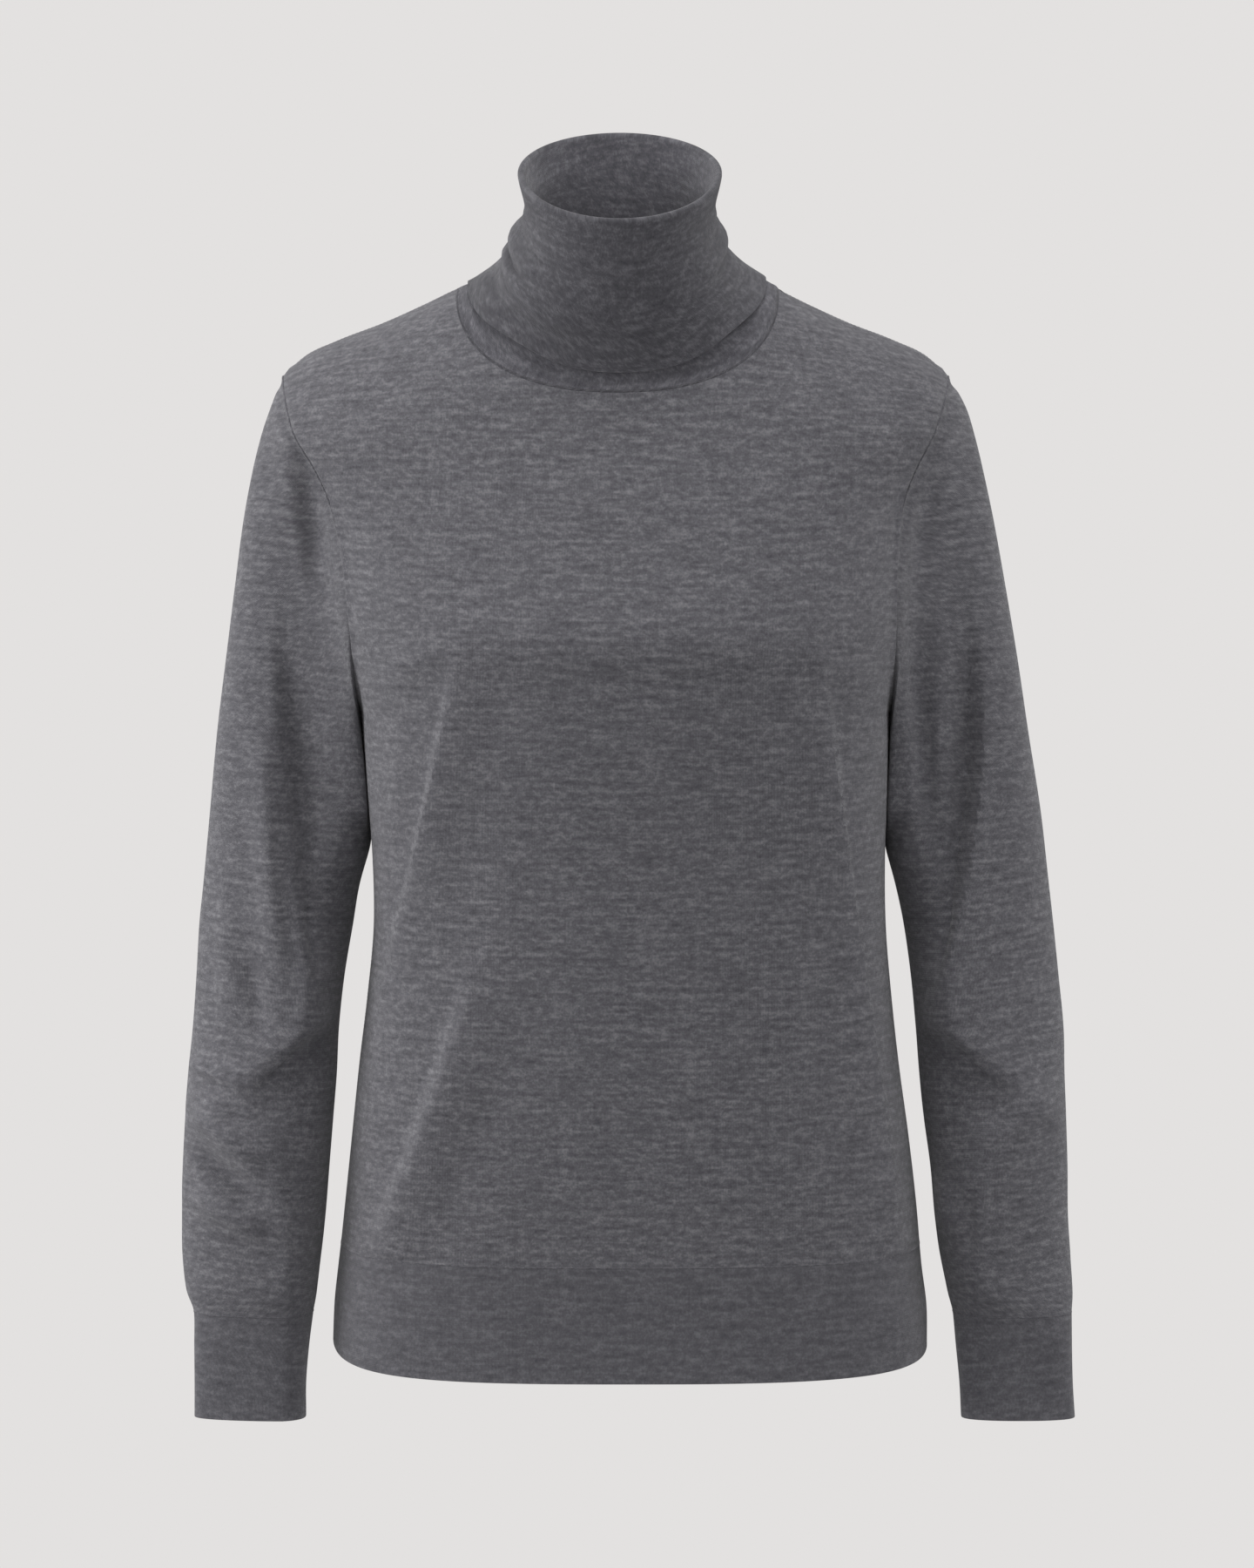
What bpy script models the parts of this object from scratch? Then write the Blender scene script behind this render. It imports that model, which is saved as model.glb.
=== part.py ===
"""Turtleneck sweater: a hollow, worn shape in fine knit.

Run it with: blender --background --python part.py

The front faces -Y and +Z is up. The origin is where the wearer's neck and shoulders hold the sweater up,
level with the side of the neck. Right and left are the wearer's own: right is -X and left is +X.
Each piece is one open sheet on a grid of points, and Solidify gives it its thickness.
"""
import math
from collections import namedtuple

import bmesh
import bpy
import numpy as np

MM = 0.001

# The cloth
WALL = 1.4 * MM
SEAM_GAP = 0.35 * MM          # between two pieces at a seam
RIDGE_GAP = 0.9 * MM          # between front and back on the shoulder, whose bend closes it underneath
UNDERARM_GAP = 1.1 * MM       # between the side of the body and a sleeve hanging against it
TIP_GAP = 0.9 * MM            # between panels and sleeve at the shoulder's tip, where the cloth bends most
COLLAR_GAP = 1.5 * MM         # between panels and collar, where the cloth bends again

# The body
HEM_TOP = -562 * MM
HEM_FOOT = -629 * MM
HEM_RISE_RIGHT = 12 * MM      # how much higher the hem's foot is at the right side seam than in the middle
HEM_RISE_LEFT = 7.5 * MM
UNDERARM = -250 * MM
SHOULDER_TIP = -54.5 * MM
NECK_CENTRE = -5.5 * MM       # the neck opening sits a little to the wearer's right
NECK_HALF_WIDTH = 93.5 * MM
NECK_SIDE = -4.5 * MM         # height of the neck seam where it crosses the shoulder
NECK_FRONT_DROP = 59.3 * MM
NECK_BACK_DROP = 5.5 * MM
NECK_SQUARE = 2.3
RIM_SQUARE = 2.0
NECK_FULLNESS = 0.55          # how soon the neck's foot swings forward from its sides: 1 is an ellipse
SHOULDER_ROUND = 75 * MM      # height over which the body rounds over into the shoulder
ARMHOLE_FLARE = 0.45          # how far forward the armhole stands, as a share of the chest's depth
ARMHOLE_SWEEP = 90 * MM       # height over which the foot of the armhole rounds up to that depth

# The collar
FOOT_BAND = 0.2               # share of the stand over which its foot swings out to the neck seam
BAND_FRONT = 0.2              # share of the stand that shows below the turned-down layer
BAND_BACK = 0.12
BAND_RIGHT = 0.05
BAND_LEFT = 0.12
TURN_RADIUS = 0.55 * MM       # of the turned top edge, measured between the layers
COLLAR_LIFT = 1.2 * MM        # extra height of the free edge over the stand

# The number of facets each way
NECK_FACETS = 22              # across half the neck
NECK_CROWDING = 0.75          # how much more closely they stand where the neck crosses the shoulder
SHOULDER_FACETS = 5
YOKE_FACETS = 11              # up one side of the armhole
COLUMN_SWEEP = 4.0            # how late the columns of facets swing in towards the neck
SEAM_ROW = 0.97               # a short row under the top seams, which keeps their rims square to the cloth
TORSO_FACETS = 12
HEM_FACETS = 3
SLEEVE_FACETS = 24
CUFF_FACETS = 3
STAND_FACETS = 7
TURN_FACETS = 3
OUTER_FACETS = 6
FOLD_STEPS = 24               # points at which the distance to a fold is taken
FOLD_END = 0.04               # share of a fold's length, at each end, over which its height is held
FOLD_TAPER = 0.6              # how a fold rises along its length: 1 is a plain arch, less is fuller
SLOPE_STEP = 0.01             # of a share, over which the collar's upward direction is taken

GREY_MELANGE = (0.114, 0.112, 0.124)
RIB_GREY = (0.092, 0.090, 0.101)

# Sections of the body, from the foot of the hem to the neck. Half-widths to each side, depths forward and
# back of the middle, and how square the section is: 2 is an ellipse. Above the underarm the widths are those
# of the armhole seen from the front.
Section = namedtuple("Section", "z right left front back square")
BODY = (
    Section(-629, 173.2, 176.8, 100, 98, 2.8),
    Section(-603, 172.2, 176.4, 99, 98, 2.8),
    Section(-579, 170.0, 173.6, 99, 98, 2.8),
    Section(-540, 165.9, 170.2, 99, 98, 2.8),
    Section(-499, 161.6, 165.4, 100, 95, 2.7),
    Section(-457, 157.2, 159.6, 101, 91, 2.6),
    Section(-416, 152.2, 155.0, 102, 87, 2.55),
    Section(-375, 148.4, 151.6, 104, 83, 2.5),
    Section(-334, 149.0, 151.0, 105, 83, 2.45),
    Section(-292, 152.2, 152.4, 109, 87, 2.4),
    Section(-250, 155.0, 153.0, 113.6, 92, 2.4),
    Section(-230, 156.2, 153.2, 115.8, 95, 2.4),
    Section(-215, 157.2, 153.4, 116.6, 97, 2.4),
    Section(-200, 158.4, 153.6, 114.6, 98, 2.4),
    Section(-182, 160.2, 153.9, 110, 99, 2.4),
    Section(-153, 164.0, 155.4, 100.5, 99, 2.4),
    Section(-125, 171.6, 159.4, 89.5, 96, 2.4),
    Section(-105, 181.4, 167.6, 80.5, 92, 2.4),
    Section(-90, 191.0, 175.8, 74, 87, 2.4),
    Section(-72, 196.6, 182.4, 66.5, 80, 2.4),
    Section(-54.5, 199.5, 186.3, 60, 74, 2.4),
    Section(-30, 199.5, 186.3, 53, 70, 2.4),
    Section(20, 199.5, 186.3, 46, 62, 2.4),
)

# Height of the shoulder seam, by the share of the way from the middle of the neck to the shoulder's tip.
Ridge = namedtuple("Ridge", "reach z")
SHOULDER = (
    Ridge(0.00, 20),
    Ridge(0.30, 9),
    Ridge(0.48, -4.5),
    Ridge(0.58, -13.8),
    Ridge(0.70, -23.4),
    Ridge(0.84, -33.2),
    Ridge(0.94, -44.0),
    Ridge(1.00, -54.5),
)

# The form the collar stands on, from just above the neck seam to the turned edge. Each row is a ring that
# tilts forward: half-widths at the side, and where its side, front and back lie.
NeckRing = namedtuple("NeckRing", "share right left side_y side_z front_y front_z back_y back_z")
NECK = (
    NeckRing(0.00, 99.0, 88.0, 0, -4.5, -61.5, -63.8, 54, -10),
    NeckRing(0.10, 95.0, 85.0, -2, -2.6, -61.5, -56.5, 52, -2),
    NeckRing(0.20, 87.6, 78.6, -4, 0.2, -62.5, -48.5, 49, 7),
    NeckRing(0.32, 74.8, 65.4, -7, 7, -68.0, -33, 44, 20),
    NeckRing(0.45, 66.4, 57.0, -11, 16, -73.5, -19, 38, 34),
    NeckRing(0.60, 62.2, 53.4, -17, 27, -78.0, -4, 31, 48),
    NeckRing(0.78, 56.6, 48.6, -24, 42, -82.5, 14, 22, 66),
    NeckRing(1.00, 60.2, 52.0, -32, 61.5, -87.5, 32.5, 15, 84.0),
)

# Sections of a sleeve, from the armhole to the foot of the cuff, as seen from the front: where its outer and
# inner edges lie, then where its middle lies from front to back, its half-depth and how square it is.
Ring = namedtuple("Ring", "outer_x outer_z inner_x inner_z mid_y depth square")
SLEEVE_RIGHT = (
    Ring(199.9, -54.5, 155.4, -250, 4, 49, 2.1),
    Ring(208.4, -76, 155.0, -257, 9, 48, 2.3),
    Ring(213.6, -91, 154.6, -263, 13, 46, 2.6),
    Ring(219.0, -112, 154.2, -270, 15, 44, 2.8),
    Ring(224.6, -141, 153.5, -279, 16, 42, 3.0),
    Ring(229.8, -178, 152.8, -291, 17, 41, 3.0),
    Ring(235.4, -220, 152.1, -304, 18, 41, 3.0),
    Ring(240.8, -262, 151.4, -317, 18, 42, 2.9),
    Ring(245.0, -307, 151.2, -330, 15, 43, 2.7),
    Ring(249.0, -350, 157.6, -354, 11, 44, 2.4),
    Ring(251.6, -376, 161.4, -377, 8, 44.5, 2.3),
    Ring(253.2, -406, 166.2, -406, 4, 45, 2.2),
    Ring(255.2, -436, 169.4, -436, 0, 45, 2.2),
    Ring(257.8, -463, 170.6, -463, -4, 44.5, 2.2),
    Ring(259.4, -489, 172.6, -489, -8, 44, 2.2),
    Ring(260.8, -517, 175.2, -517, -11, 42, 2.2),
    Ring(261.2, -545, 177.6, -545, -14, 39, 2.2),
    Ring(260.8, -569, 180.4, -569, -17, 35, 2.2),
    Ring(258.4, -587, 183.4, -587, -21, 30, 2.2),
    Ring(254.4, -600, 184.4, -600, -28, 21, 2.4),
    Ring(254.1, -620, 187.4, -620, -32, 16, 2.6),
    Ring(253.6, -643, 189.2, -643, -34, 14, 2.6),
    Ring(253.6, -665, 189.2, -665, -36, 13.5, 2.6),
)
SLEEVE_LEFT = (
    Ring(186.7, -54.5, 153.4, -250, 4, 49, 2.1),
    Ring(196.8, -72, 153.3, -257, 9, 48, 2.3),
    Ring(202.8, -90, 153.2, -263, 13, 46, 2.6),
    Ring(208.4, -112, 153.2, -270, 15, 44, 2.8),
    Ring(214.8, -141, 153.1, -279, 16, 42, 3.0),
    Ring(221.8, -178, 152.9, -291, 17, 41, 3.0),
    Ring(229.2, -220, 152.5, -304, 18, 41, 3.0),
    Ring(236.0, -264, 152.1, -317, 18, 42, 2.9),
    Ring(243.2, -309, 152.0, -330, 15, 43, 2.7),
    Ring(247.9, -350, 158.2, -354, 11, 44, 2.4),
    Ring(250.8, -376, 163.0, -377, 8, 44.5, 2.3),
    Ring(253.8, -406, 167.0, -406, 4, 45, 2.2),
    Ring(256.6, -436, 169.8, -436, 0, 45, 2.2),
    Ring(257.0, -463, 171.8, -463, -4, 44.5, 2.2),
    Ring(257.8, -489, 174.4, -489, -8, 44, 2.2),
    Ring(258.6, -517, 178.2, -517, -11, 42, 2.2),
    Ring(258.8, -545, 180.6, -545, -14, 39, 2.2),
    Ring(260.2, -569, 183.8, -569, -17, 35, 2.2),
    Ring(260.4, -587, 188.2, -587, -21, 30, 2.2),
    Ring(260.2, -600, 190.6, -600, -28, 21, 2.4),
    Ring(260.2, -620, 192.4, -620, -32, 16, 2.6),
    Ring(260.7, -643, 194.4, -643, -34, 14, 2.6),
    Ring(262.2, -665, 195.8, -665, -36, 13.5, 2.6),
)
CUFF_SEAM = 19                # the row of the sleeve tables at which the cuff begins
CAP_ROWS = 6.0                # rows over which the armhole's own shape fades into the sleeve's
CROWN_TRIES = 12              # steps in which the furthest forward place of a ring is found
CROWN_LIMIT = 0.8             # and how far across the sleeve it may lie

# Where a sleeve stands furthest forward at a height, and how round it is there: 2 is round, 1 an edge.
Brow = namedtuple("Brow", "z x roundness")
BROW_RIGHT = (
    Brow(-665, 222, 2.2),
    Brow(-600, 214, 2.2),
    Brow(-550, 194, 1.6),
    Brow(-510, 198, 1.5),
    Brow(-474, 206, 1.5),
    Brow(-440, 192, 1.5),
    Brow(-409, 185, 1.5),
    Brow(-364, 187, 1.5),
    Brow(-320, 178, 1.8),
    Brow(-283, 171, 2.2),
    Brow(-245, 169, 2.2),
    Brow(-205, 171, 2.2),
    Brow(-160, 175, 2.2),
    Brow(-110, 179, 2.2),
    Brow(-55, 180, 2.2),
)
BROW_LEFT = (
    Brow(-665, 229, 2.2),
    Brow(-600, 224, 2.2),
    Brow(-550, 196, 1.6),
    Brow(-510, 200, 1.5),
    Brow(-478, 210, 1.5),
    Brow(-440, 192, 1.5),
    Brow(-409, 185, 1.5),
    Brow(-364, 188, 1.5),
    Brow(-320, 182, 1.8),
    Brow(-283, 172, 2.2),
    Brow(-245, 169, 2.2),
    Brow(-205, 169, 2.2),
    Brow(-160, 171, 2.2),
    Brow(-110, 174, 2.2),
    Brow(-55, 172, 2.2),
)

# The main folds, as seen from the side of the garment that shows them: a curve from start to end that bends
# through a middle point, then its full width and its height. A negative height is a trough.
Fold = namedtuple("Fold", "side x0 z0 x1 z1 x2 z2 width height")
BODY_FOLDS = (
    Fold("front", -101, -228, -110, -300, -145, -432, 18, 3.2),
    Fold("front", -94, -408, -128, -470, -148, -553, 44, 3.0),
    Fold("front", -118, -250, -124, -330, -148, -420, 30, -2.4),
    Fold("front", 108, -223, 119, -320, 161, -545, 20, 2.6),
    Fold("front", 122, -260, 132, -350, 160, -470, 30, -2.0),
    Fold("back", -96, -200, -84, -330, -104, -520, 40, 3.4),
    Fold("back", 88, -215, 82, -340, 112, -535, 44, 3.2),
    Fold("back", -30, -330, 6, -380, 44, -410, 42, -3.0),
    Fold("back", 40, -300, 8, -345, -26, -372, 36, -2.4),
)
SLEEVE_RIGHT_FOLDS = (
    Fold("front", -184, -112, -177, -134, -172, -168, 22, -4.0),
    Fold("front", -200, -215, -170, -330, -184, -446, 36, -6.5),
    Fold("front", -170, -486, -196, -478, -222, -466, 26, -7.5),
    Fold("front", -176, -532, -200, -520, -244, -498, 24, -3.0),
    Fold("back", -196, -170, -206, -300, -198, -420, 40, -4.5),
    Fold("back", -182, -470, -210, -482, -244, -470, 30, 3.5),
)
SLEEVE_LEFT_FOLDS = (
    Fold("front", 176, -118, 170, -152, 166, -190, 24, -4.0),
    Fold("front", 201, -224, 172, -350, 186, -462, 36, -6.5),
    Fold("front", 172, -492, 198, -486, 228, -480, 26, -6.5),
    Fold("front", 178, -548, 190, -536, 214, -508, 26, 3.0),
    Fold("back", 190, -175, 204, -300, 196, -425, 40, -4.5),
    Fold("back", 180, -476, 208, -488, 240, -474, 30, 3.5),
)


def smooth_column(rows, column, key, at):
    """Read one column of a table at any value of its key column, as a smooth curve through the rows."""
    keys = np.array([getattr(row, key) for row in rows], float)
    values = np.array([getattr(row, column) for row in rows], float)
    return smooth_values(keys, values, np.asarray(at, float))


def smooth_values(keys, values, at):
    """Cubic curve through the given points, with each slope taken from its two neighbours."""
    slopes = np.gradient(values, keys)
    place = np.clip(np.searchsorted(keys, at, side="right") - 1, 0, len(keys) - 2)
    span = keys[place + 1] - keys[place]
    share = np.clip((at - keys[place]) / span, 0.0, 1.0)
    ease = share * share * (3.0 - 2.0 * share)
    start_pull = share * (1.0 - share) ** 2
    end_pull = share * share * (share - 1.0)
    rise = values[place + 1] - values[place]
    return values[place] + ease * rise + span * (start_pull * slopes[place] + end_pull * slopes[place + 1])


def signed_power(base, exponent):
    """Raise to a power, keeping the sign."""
    return np.sign(base) * np.abs(base) ** exponent


def grid_of(x, y, z):
    """Join three arrays of coordinates into one array of points."""
    return np.stack(np.broadcast_arrays(x, y, z), axis=-1)


def body_size(column, z):
    """A width or depth of the body at a height."""
    return smooth_column(BODY, column, "z", z / MM) * MM


def body_square(z):
    """How square the body's section is at a height."""
    return smooth_column(BODY, "square", "z", z / MM)


def facing(side):
    """The sign of Y on one side of the garment."""
    return -1.0 if side == "front" else 1.0


def shoulder_height(x):
    """Height of the shoulder seam at each place across the body."""
    tip = np.array(SHOULDER_TIP)
    right = body_size("right", tip) + NECK_CENTRE
    left = body_size("left", tip) - NECK_CENTRE
    offset = x - NECK_CENTRE
    reach = np.where(offset < 0.0, -offset / right, offset / left)
    return smooth_column(SHOULDER, "z", "reach", np.clip(reach, 0.0, 1.0)) * MM


def shoulder_rounding(x, z):
    """Share of the full depth that is left where the body rounds over into the shoulder."""
    drop = np.clip((shoulder_height(x) - z) / SHOULDER_ROUND, 0.0, 1.0)
    return np.sqrt(1.0 - (1.0 - drop) ** 2)


def armhole_opening(z):
    """Share of the chest's depth at which the armhole's edge stands: nothing at the underarm."""
    rise = np.clip((z - UNDERARM) / ARMHOLE_SWEEP, 0.0, 1.0)
    return ARMHOLE_FLARE * np.sqrt(1.0 - (1.0 - rise) ** 2)


def body_depth(side, x, z):
    """How far the body stands forward or back at a place that is given as seen from the front."""
    square = body_square(z)
    edge_share = (1.0 - armhole_opening(z) ** square) ** (1.0 / square)
    half_width = np.where(x < 0.0, body_size("right", z), body_size("left", z)) / edge_share
    across = np.clip(np.abs(x) / half_width, 0.0, 1.0)
    roundness = (1.0 - across ** square) ** (1.0 / square)
    return body_size(side, z) * roundness * shoulder_rounding(x, z)


def armhole_points(arm, angle):
    """The armhole's edge: angle 0 is the shoulder's tip, a quarter turn the front, half the underarm."""
    z = UNDERARM + (SHOULDER_TIP - UNDERARM) * (1.0 + np.cos(angle)) / 2.0
    x = body_size(arm, z) * (-1.0 if arm == "right" else 1.0)
    forward = np.sin(angle) >= 0.0
    y = np.where(forward, -body_depth("front", x, z), body_depth("back", x, z))
    return grid_of(x, y, z)


def half_neck_angles():
    """Angles across half the neck, closer together near its sides."""
    even = np.linspace(-1.0, 1.0, NECK_FACETS + 1)
    return ((1.0 - NECK_CROWDING) * even + NECK_CROWDING * np.sin(even * math.pi / 2.0)) * math.pi / 2.0


def neck_seam_points(angle):
    """The neck seam: angle 0 is the middle of the front, positive towards the wearer's left."""
    x = NECK_CENTRE + NECK_HALF_WIDTH * signed_power(np.sin(angle), 2.0 / NECK_SQUARE)
    forward = np.cos(angle) >= 0.0
    drop = np.where(forward, NECK_FRONT_DROP, NECK_BACK_DROP)
    z = NECK_SIDE - drop * np.abs(np.cos(angle)) ** (2.0 / NECK_SQUARE)
    y = np.where(forward, -body_depth("front", x, z), body_depth("back", x, z))
    return grid_of(x, y, z)


def torso_rows(side, heights):
    """Rows of points round one side of the body, from the wearer's right side seam to the left."""
    columns = 2 * SHOULDER_FACETS + NECK_FACETS
    angle = np.linspace(-0.5, 0.5, columns + 1) * math.pi
    z = heights[:, None]
    square = body_square(z)
    half_width = np.where(angle < 0.0, body_size("right", z), body_size("left", z))
    x = half_width * signed_power(np.sin(angle), 2.0 / square)
    depth = body_size(side, z) * np.abs(np.cos(angle)) ** (2.0 / square)
    return grid_of(x, facing(side) * np.maximum(depth, SEAM_GAP / 2.0), z)


def panel_top(side):
    """The top edge of a panel as seen from the front: shoulder, neck, shoulder."""
    angle = half_neck_angles()
    neck = neck_seam_points(angle if side == "front" else math.pi - angle)
    tip = np.array(SHOULDER_TIP)
    right = np.linspace(-body_size("right", tip), neck[0, 0], SHOULDER_FACETS, endpoint=False)
    left = np.linspace(body_size("left", tip), neck[-1, 0], SHOULDER_FACETS, endpoint=False)[::-1]
    x = np.concatenate([right, neck[:, 0], left])
    z = np.concatenate([shoulder_height(right), neck[:, 2], shoulder_height(left)])
    return np.stack([x, z], axis=-1)


def yoke_rows(side):
    """Rows of a panel above the underarm, filled in between its base, its top edge and both armholes."""
    base = torso_rows(side, np.array([UNDERARM]))[0][:, (0, 2)]
    top = panel_top(side)
    share = np.linspace(0.0, 1.0, len(top))[None, :, None]
    climb = np.linspace(0.0, 1.0, YOKE_FACETS + 1)[1:]
    climb = np.insert(climb, -1, SEAM_ROW)
    rise = (1.0 - np.cos(climb * math.pi)) / 2.0
    edge_z = UNDERARM + (SHOULDER_TIP - UNDERARM) * rise
    right = np.stack([-body_size("right", edge_z), edge_z], axis=-1)[:, None]
    left = np.stack([body_size("left", edge_z), edge_z], axis=-1)[:, None]
    rise = np.stack([rise ** COLUMN_SWEEP, rise], axis=-1)[:, None]
    corners = ((1 - rise) * ((1 - share) * base[0] + share * base[-1])
               + rise * ((1 - share) * top[0] + share * top[-1]))
    flat = (1 - rise) * base + rise * top + (1 - share) * right + share * left - corners
    x, z = flat[..., 0], flat[..., 1]
    depth = np.maximum(body_depth(side, x, z), RIDGE_GAP / 2.0)
    return grid_of(x, facing(side) * depth, z)


def panel_grid(side):
    """A whole front or back panel, from its hem seam to the shoulders."""
    heights = np.linspace(HEM_TOP + SEAM_GAP / 2.0, UNDERARM, TORSO_FACETS + 1)
    grid = np.concatenate([torso_rows(side, heights), yoke_rows(side)])
    return raise_folds(grid, BODY_FOLDS, closed=False)


def hem_grid(side):
    """A hem band under one panel, whose foot rises a little towards the side seams."""
    grid = torso_rows(side, np.linspace(HEM_FOOT, HEM_TOP - SEAM_GAP / 2.0, HEM_FACETS + 1))
    across = np.linspace(-1.0, 1.0, grid.shape[1])
    side_rise = np.where(across < 0.0, HEM_RISE_RIGHT, HEM_RISE_LEFT) * across ** 4
    grid[..., 2] += np.linspace(1.0, 0.0, HEM_FACETS + 1)[:, None] * side_rise
    return grid


def sleeve_rings(arm, rows):
    """Rings round a sleeve or cuff at given rows of its table, before the armhole shapes its head."""
    table = SLEEVE_RIGHT if arm == "right" else SLEEVE_LEFT
    brow = BROW_RIGHT if arm == "right" else BROW_LEFT
    stations = np.arange(len(table), dtype=float)
    angle = np.linspace(0.0, 2.0 * math.pi, 2 * YOKE_FACETS + 1)

    def column(name):
        values = np.array([getattr(row, name) for row in table], float)
        return smooth_values(stations, values, rows)[:, None]

    def between(axis, place):
        return ((1 + place) * column("outer_" + axis) + (1 - place) * column("inner_" + axis)) / 2.0

    square = column("square")
    along = signed_power(np.cos(angle), 2.0 / square)
    forward = signed_power(np.sin(angle), 2.0 / square)
    crown = np.zeros((len(rows), 1))
    for _ in range(CROWN_TRIES):
        wanted = smooth_column(brow, "x", "z", between("z", crown))
        middle = between("x", 0.0)
        crown = np.clip((wanted - middle) / (column("outer_x") - middle), -CROWN_LIMIT, CROWN_LIMIT)
    off_crown = np.where(along > crown, (along - crown) / (1.0 - crown), (crown - along) / (1.0 + crown))
    roundness = smooth_column(brow, "roundness", "z", between("z", crown))
    front = np.clip(1.0 - off_crown ** roundness, 0.0, 1.0) ** (1.0 / square)
    reach = np.where(forward > 0.0, front, forward)
    x = between("x", along) * (-1.0 if arm == "right" else 1.0)
    y = column("mid_y") - column("depth") * reach
    return grid_of(x, y, between("z", along)) * MM


def sleeve_grid(arm):
    """A sleeve, from the armhole to the cuff seam."""
    rows = np.linspace(0.0, CUFF_SEAM, SLEEVE_FACETS + 1)
    grid = sleeve_rings(arm, rows)
    angle = np.linspace(0.0, 2.0 * math.pi, grid.shape[1])
    height = (1.0 + np.cos(angle)) / 2.0
    low_gap = (UNDERARM_GAP - SEAM_GAP) * (1.0 - height) ** 4
    high_gap = (TIP_GAP - SEAM_GAP) * height ** 4
    edge = armhole_points(arm, angle)
    edge[:, 0] += (SEAM_GAP + low_gap + high_gap) * (-1.0 if arm == "right" else 1.0)
    edge[:, 2] -= high_gap
    fade = np.clip(1.0 - rows / CAP_ROWS, 0.0, 1.0)
    fade = fade * fade * (3.0 - 2.0 * fade)
    grid += fade[:, None, None] * (edge - grid[0])[None]
    grid[-1, :, 2] += SEAM_GAP / 2.0
    folds = SLEEVE_RIGHT_FOLDS if arm == "right" else SLEEVE_LEFT_FOLDS
    return raise_folds(grid, folds, closed=True)


def cuff_grid(arm):
    """A cuff band."""
    last = len(SLEEVE_RIGHT) - 1
    grid = sleeve_rings(arm, np.linspace(CUFF_SEAM, last, CUFF_FACETS + 1))
    grid[0, :, 2] -= SEAM_GAP / 2.0
    return grid


def neck_rings(shares, angle):
    """Rings of the form under the collar, from the neck seam, at share 0, to the turned edge, at 1."""
    def column(name):
        return smooth_column(NECK, name, "share", shares) * MM

    square = NECK_SQUARE + (RIM_SQUARE - NECK_SQUARE) * shares
    sideways = signed_power(np.sin(angle), 2.0 / square)
    forward = np.abs(np.cos(angle)) ** (2.0 / square)
    middle = (column("left") - column("right")) / 2.0
    half_width = (column("left") + column("right")) / 2.0
    is_front = np.cos(angle) >= 0.0
    end_y = np.where(is_front, column("front_y"), column("back_y"))
    end_z = np.where(is_front, column("front_z"), column("back_z"))
    x = middle + half_width * sideways
    fullness = np.abs(np.cos(angle)) ** (NECK_FULLNESS + (1.0 - NECK_FULLNESS) * shares)
    y = column("side_y") + (end_y - column("side_y")) * fullness
    z = column("side_z") + (end_z - column("side_z")) * forward
    return grid_of(x, y, z)


def neck_form(shares, angle):
    """The form under the collar, with its foot brought exactly to the neck seam."""
    fade = np.clip(1.0 - shares / FOOT_BAND, 0.0, 1.0)[..., None] ** 2
    foot = neck_seam_points(angle) - neck_rings(np.zeros((1, 1)), angle)[0]
    return neck_rings(shares, angle) + fade * foot


def free_edge(angle):
    """How near the neck seam the outer layer's free edge comes, as a share of the collar's height."""
    side = (BAND_LEFT + BAND_RIGHT) / 2.0 + np.sin(angle) * (BAND_LEFT - BAND_RIGHT) / 2.0
    end = np.where(np.cos(angle) >= 0.0, BAND_FRONT, BAND_BACK)
    return side + (end - side) * np.cos(angle) ** 2


def collar_grid():
    """The collar's one sheet: up the stand, over the turned edge and down the outer layer."""
    front = half_neck_angles()
    angle = np.concatenate([front, math.pi + front[1:]])
    up = np.linspace(0.0, 1.0, STAND_FACETS + 1)[:, None]
    bend = np.linspace(0.0, math.pi, TURN_FACETS + 2)[1:-1, None]
    fall = np.linspace(0.0, 1.0, OUTER_FACETS + 1)[:, None]
    all_round = np.ones_like(angle)
    down = 1.0 - fall * (1.0 - free_edge(angle))
    shares = np.concatenate([up * all_round, (0.0 * bend + 1.0) * all_round, down])
    past_edge = np.concatenate([0.0 * up, TURN_RADIUS * np.sin(bend), 0.0 * fall])
    hang = 2.0 * TURN_RADIUS + COLLAR_LIFT * fall ** 6
    proud = np.concatenate([0.0 * up, TURN_RADIUS * (1.0 - np.cos(bend)), hang])
    form = neck_form(shares, angle)
    above = neck_form(np.clip(shares + SLOPE_STEP, 0.0, 1.0), angle)
    below = neck_form(np.clip(shares - SLOPE_STEP, 0.0, 1.0), angle)
    upward = unit(above - below)
    outward = unit(np.cross(unit(wrapped_slope(form)), upward))
    grid = form + past_edge[..., None] * upward + proud[..., None] * outward
    grid[0] += COLLAR_GAP * upward[0]
    return grid


def unit(vectors):
    """Vectors of length one."""
    return vectors / np.maximum(np.linalg.norm(vectors, axis=-1, keepdims=True), 1e-12)


def wrapped_slope(grid):
    """Direction along the rows of a closed grid, whose last column repeats its first."""
    inner = np.concatenate([grid[:, -2:-1], grid, grid[:, 1:2]], axis=1)
    return inner[:, 2:] - inner[:, :-2]


def surface_normals(grid, closed):
    """Normals of a grid of points, pointing out of the garment."""
    along = wrapped_slope(grid) if closed else np.gradient(grid, axis=1)
    normals = unit(np.cross(along, np.gradient(grid, axis=0)))
    return normals if is_outward(grid) else -normals


def is_outward(grid):
    """Whether columns then rows turn so that the faces of the grid point out of the garment."""
    row = grid[1]
    place = len(row) // 2
    along = row[place + 1] - row[place - 1]
    up = grid[2, place] - grid[0, place]
    return float(np.dot(np.cross(along, up), row[place] - row.mean(axis=0))) > 0.0


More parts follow.
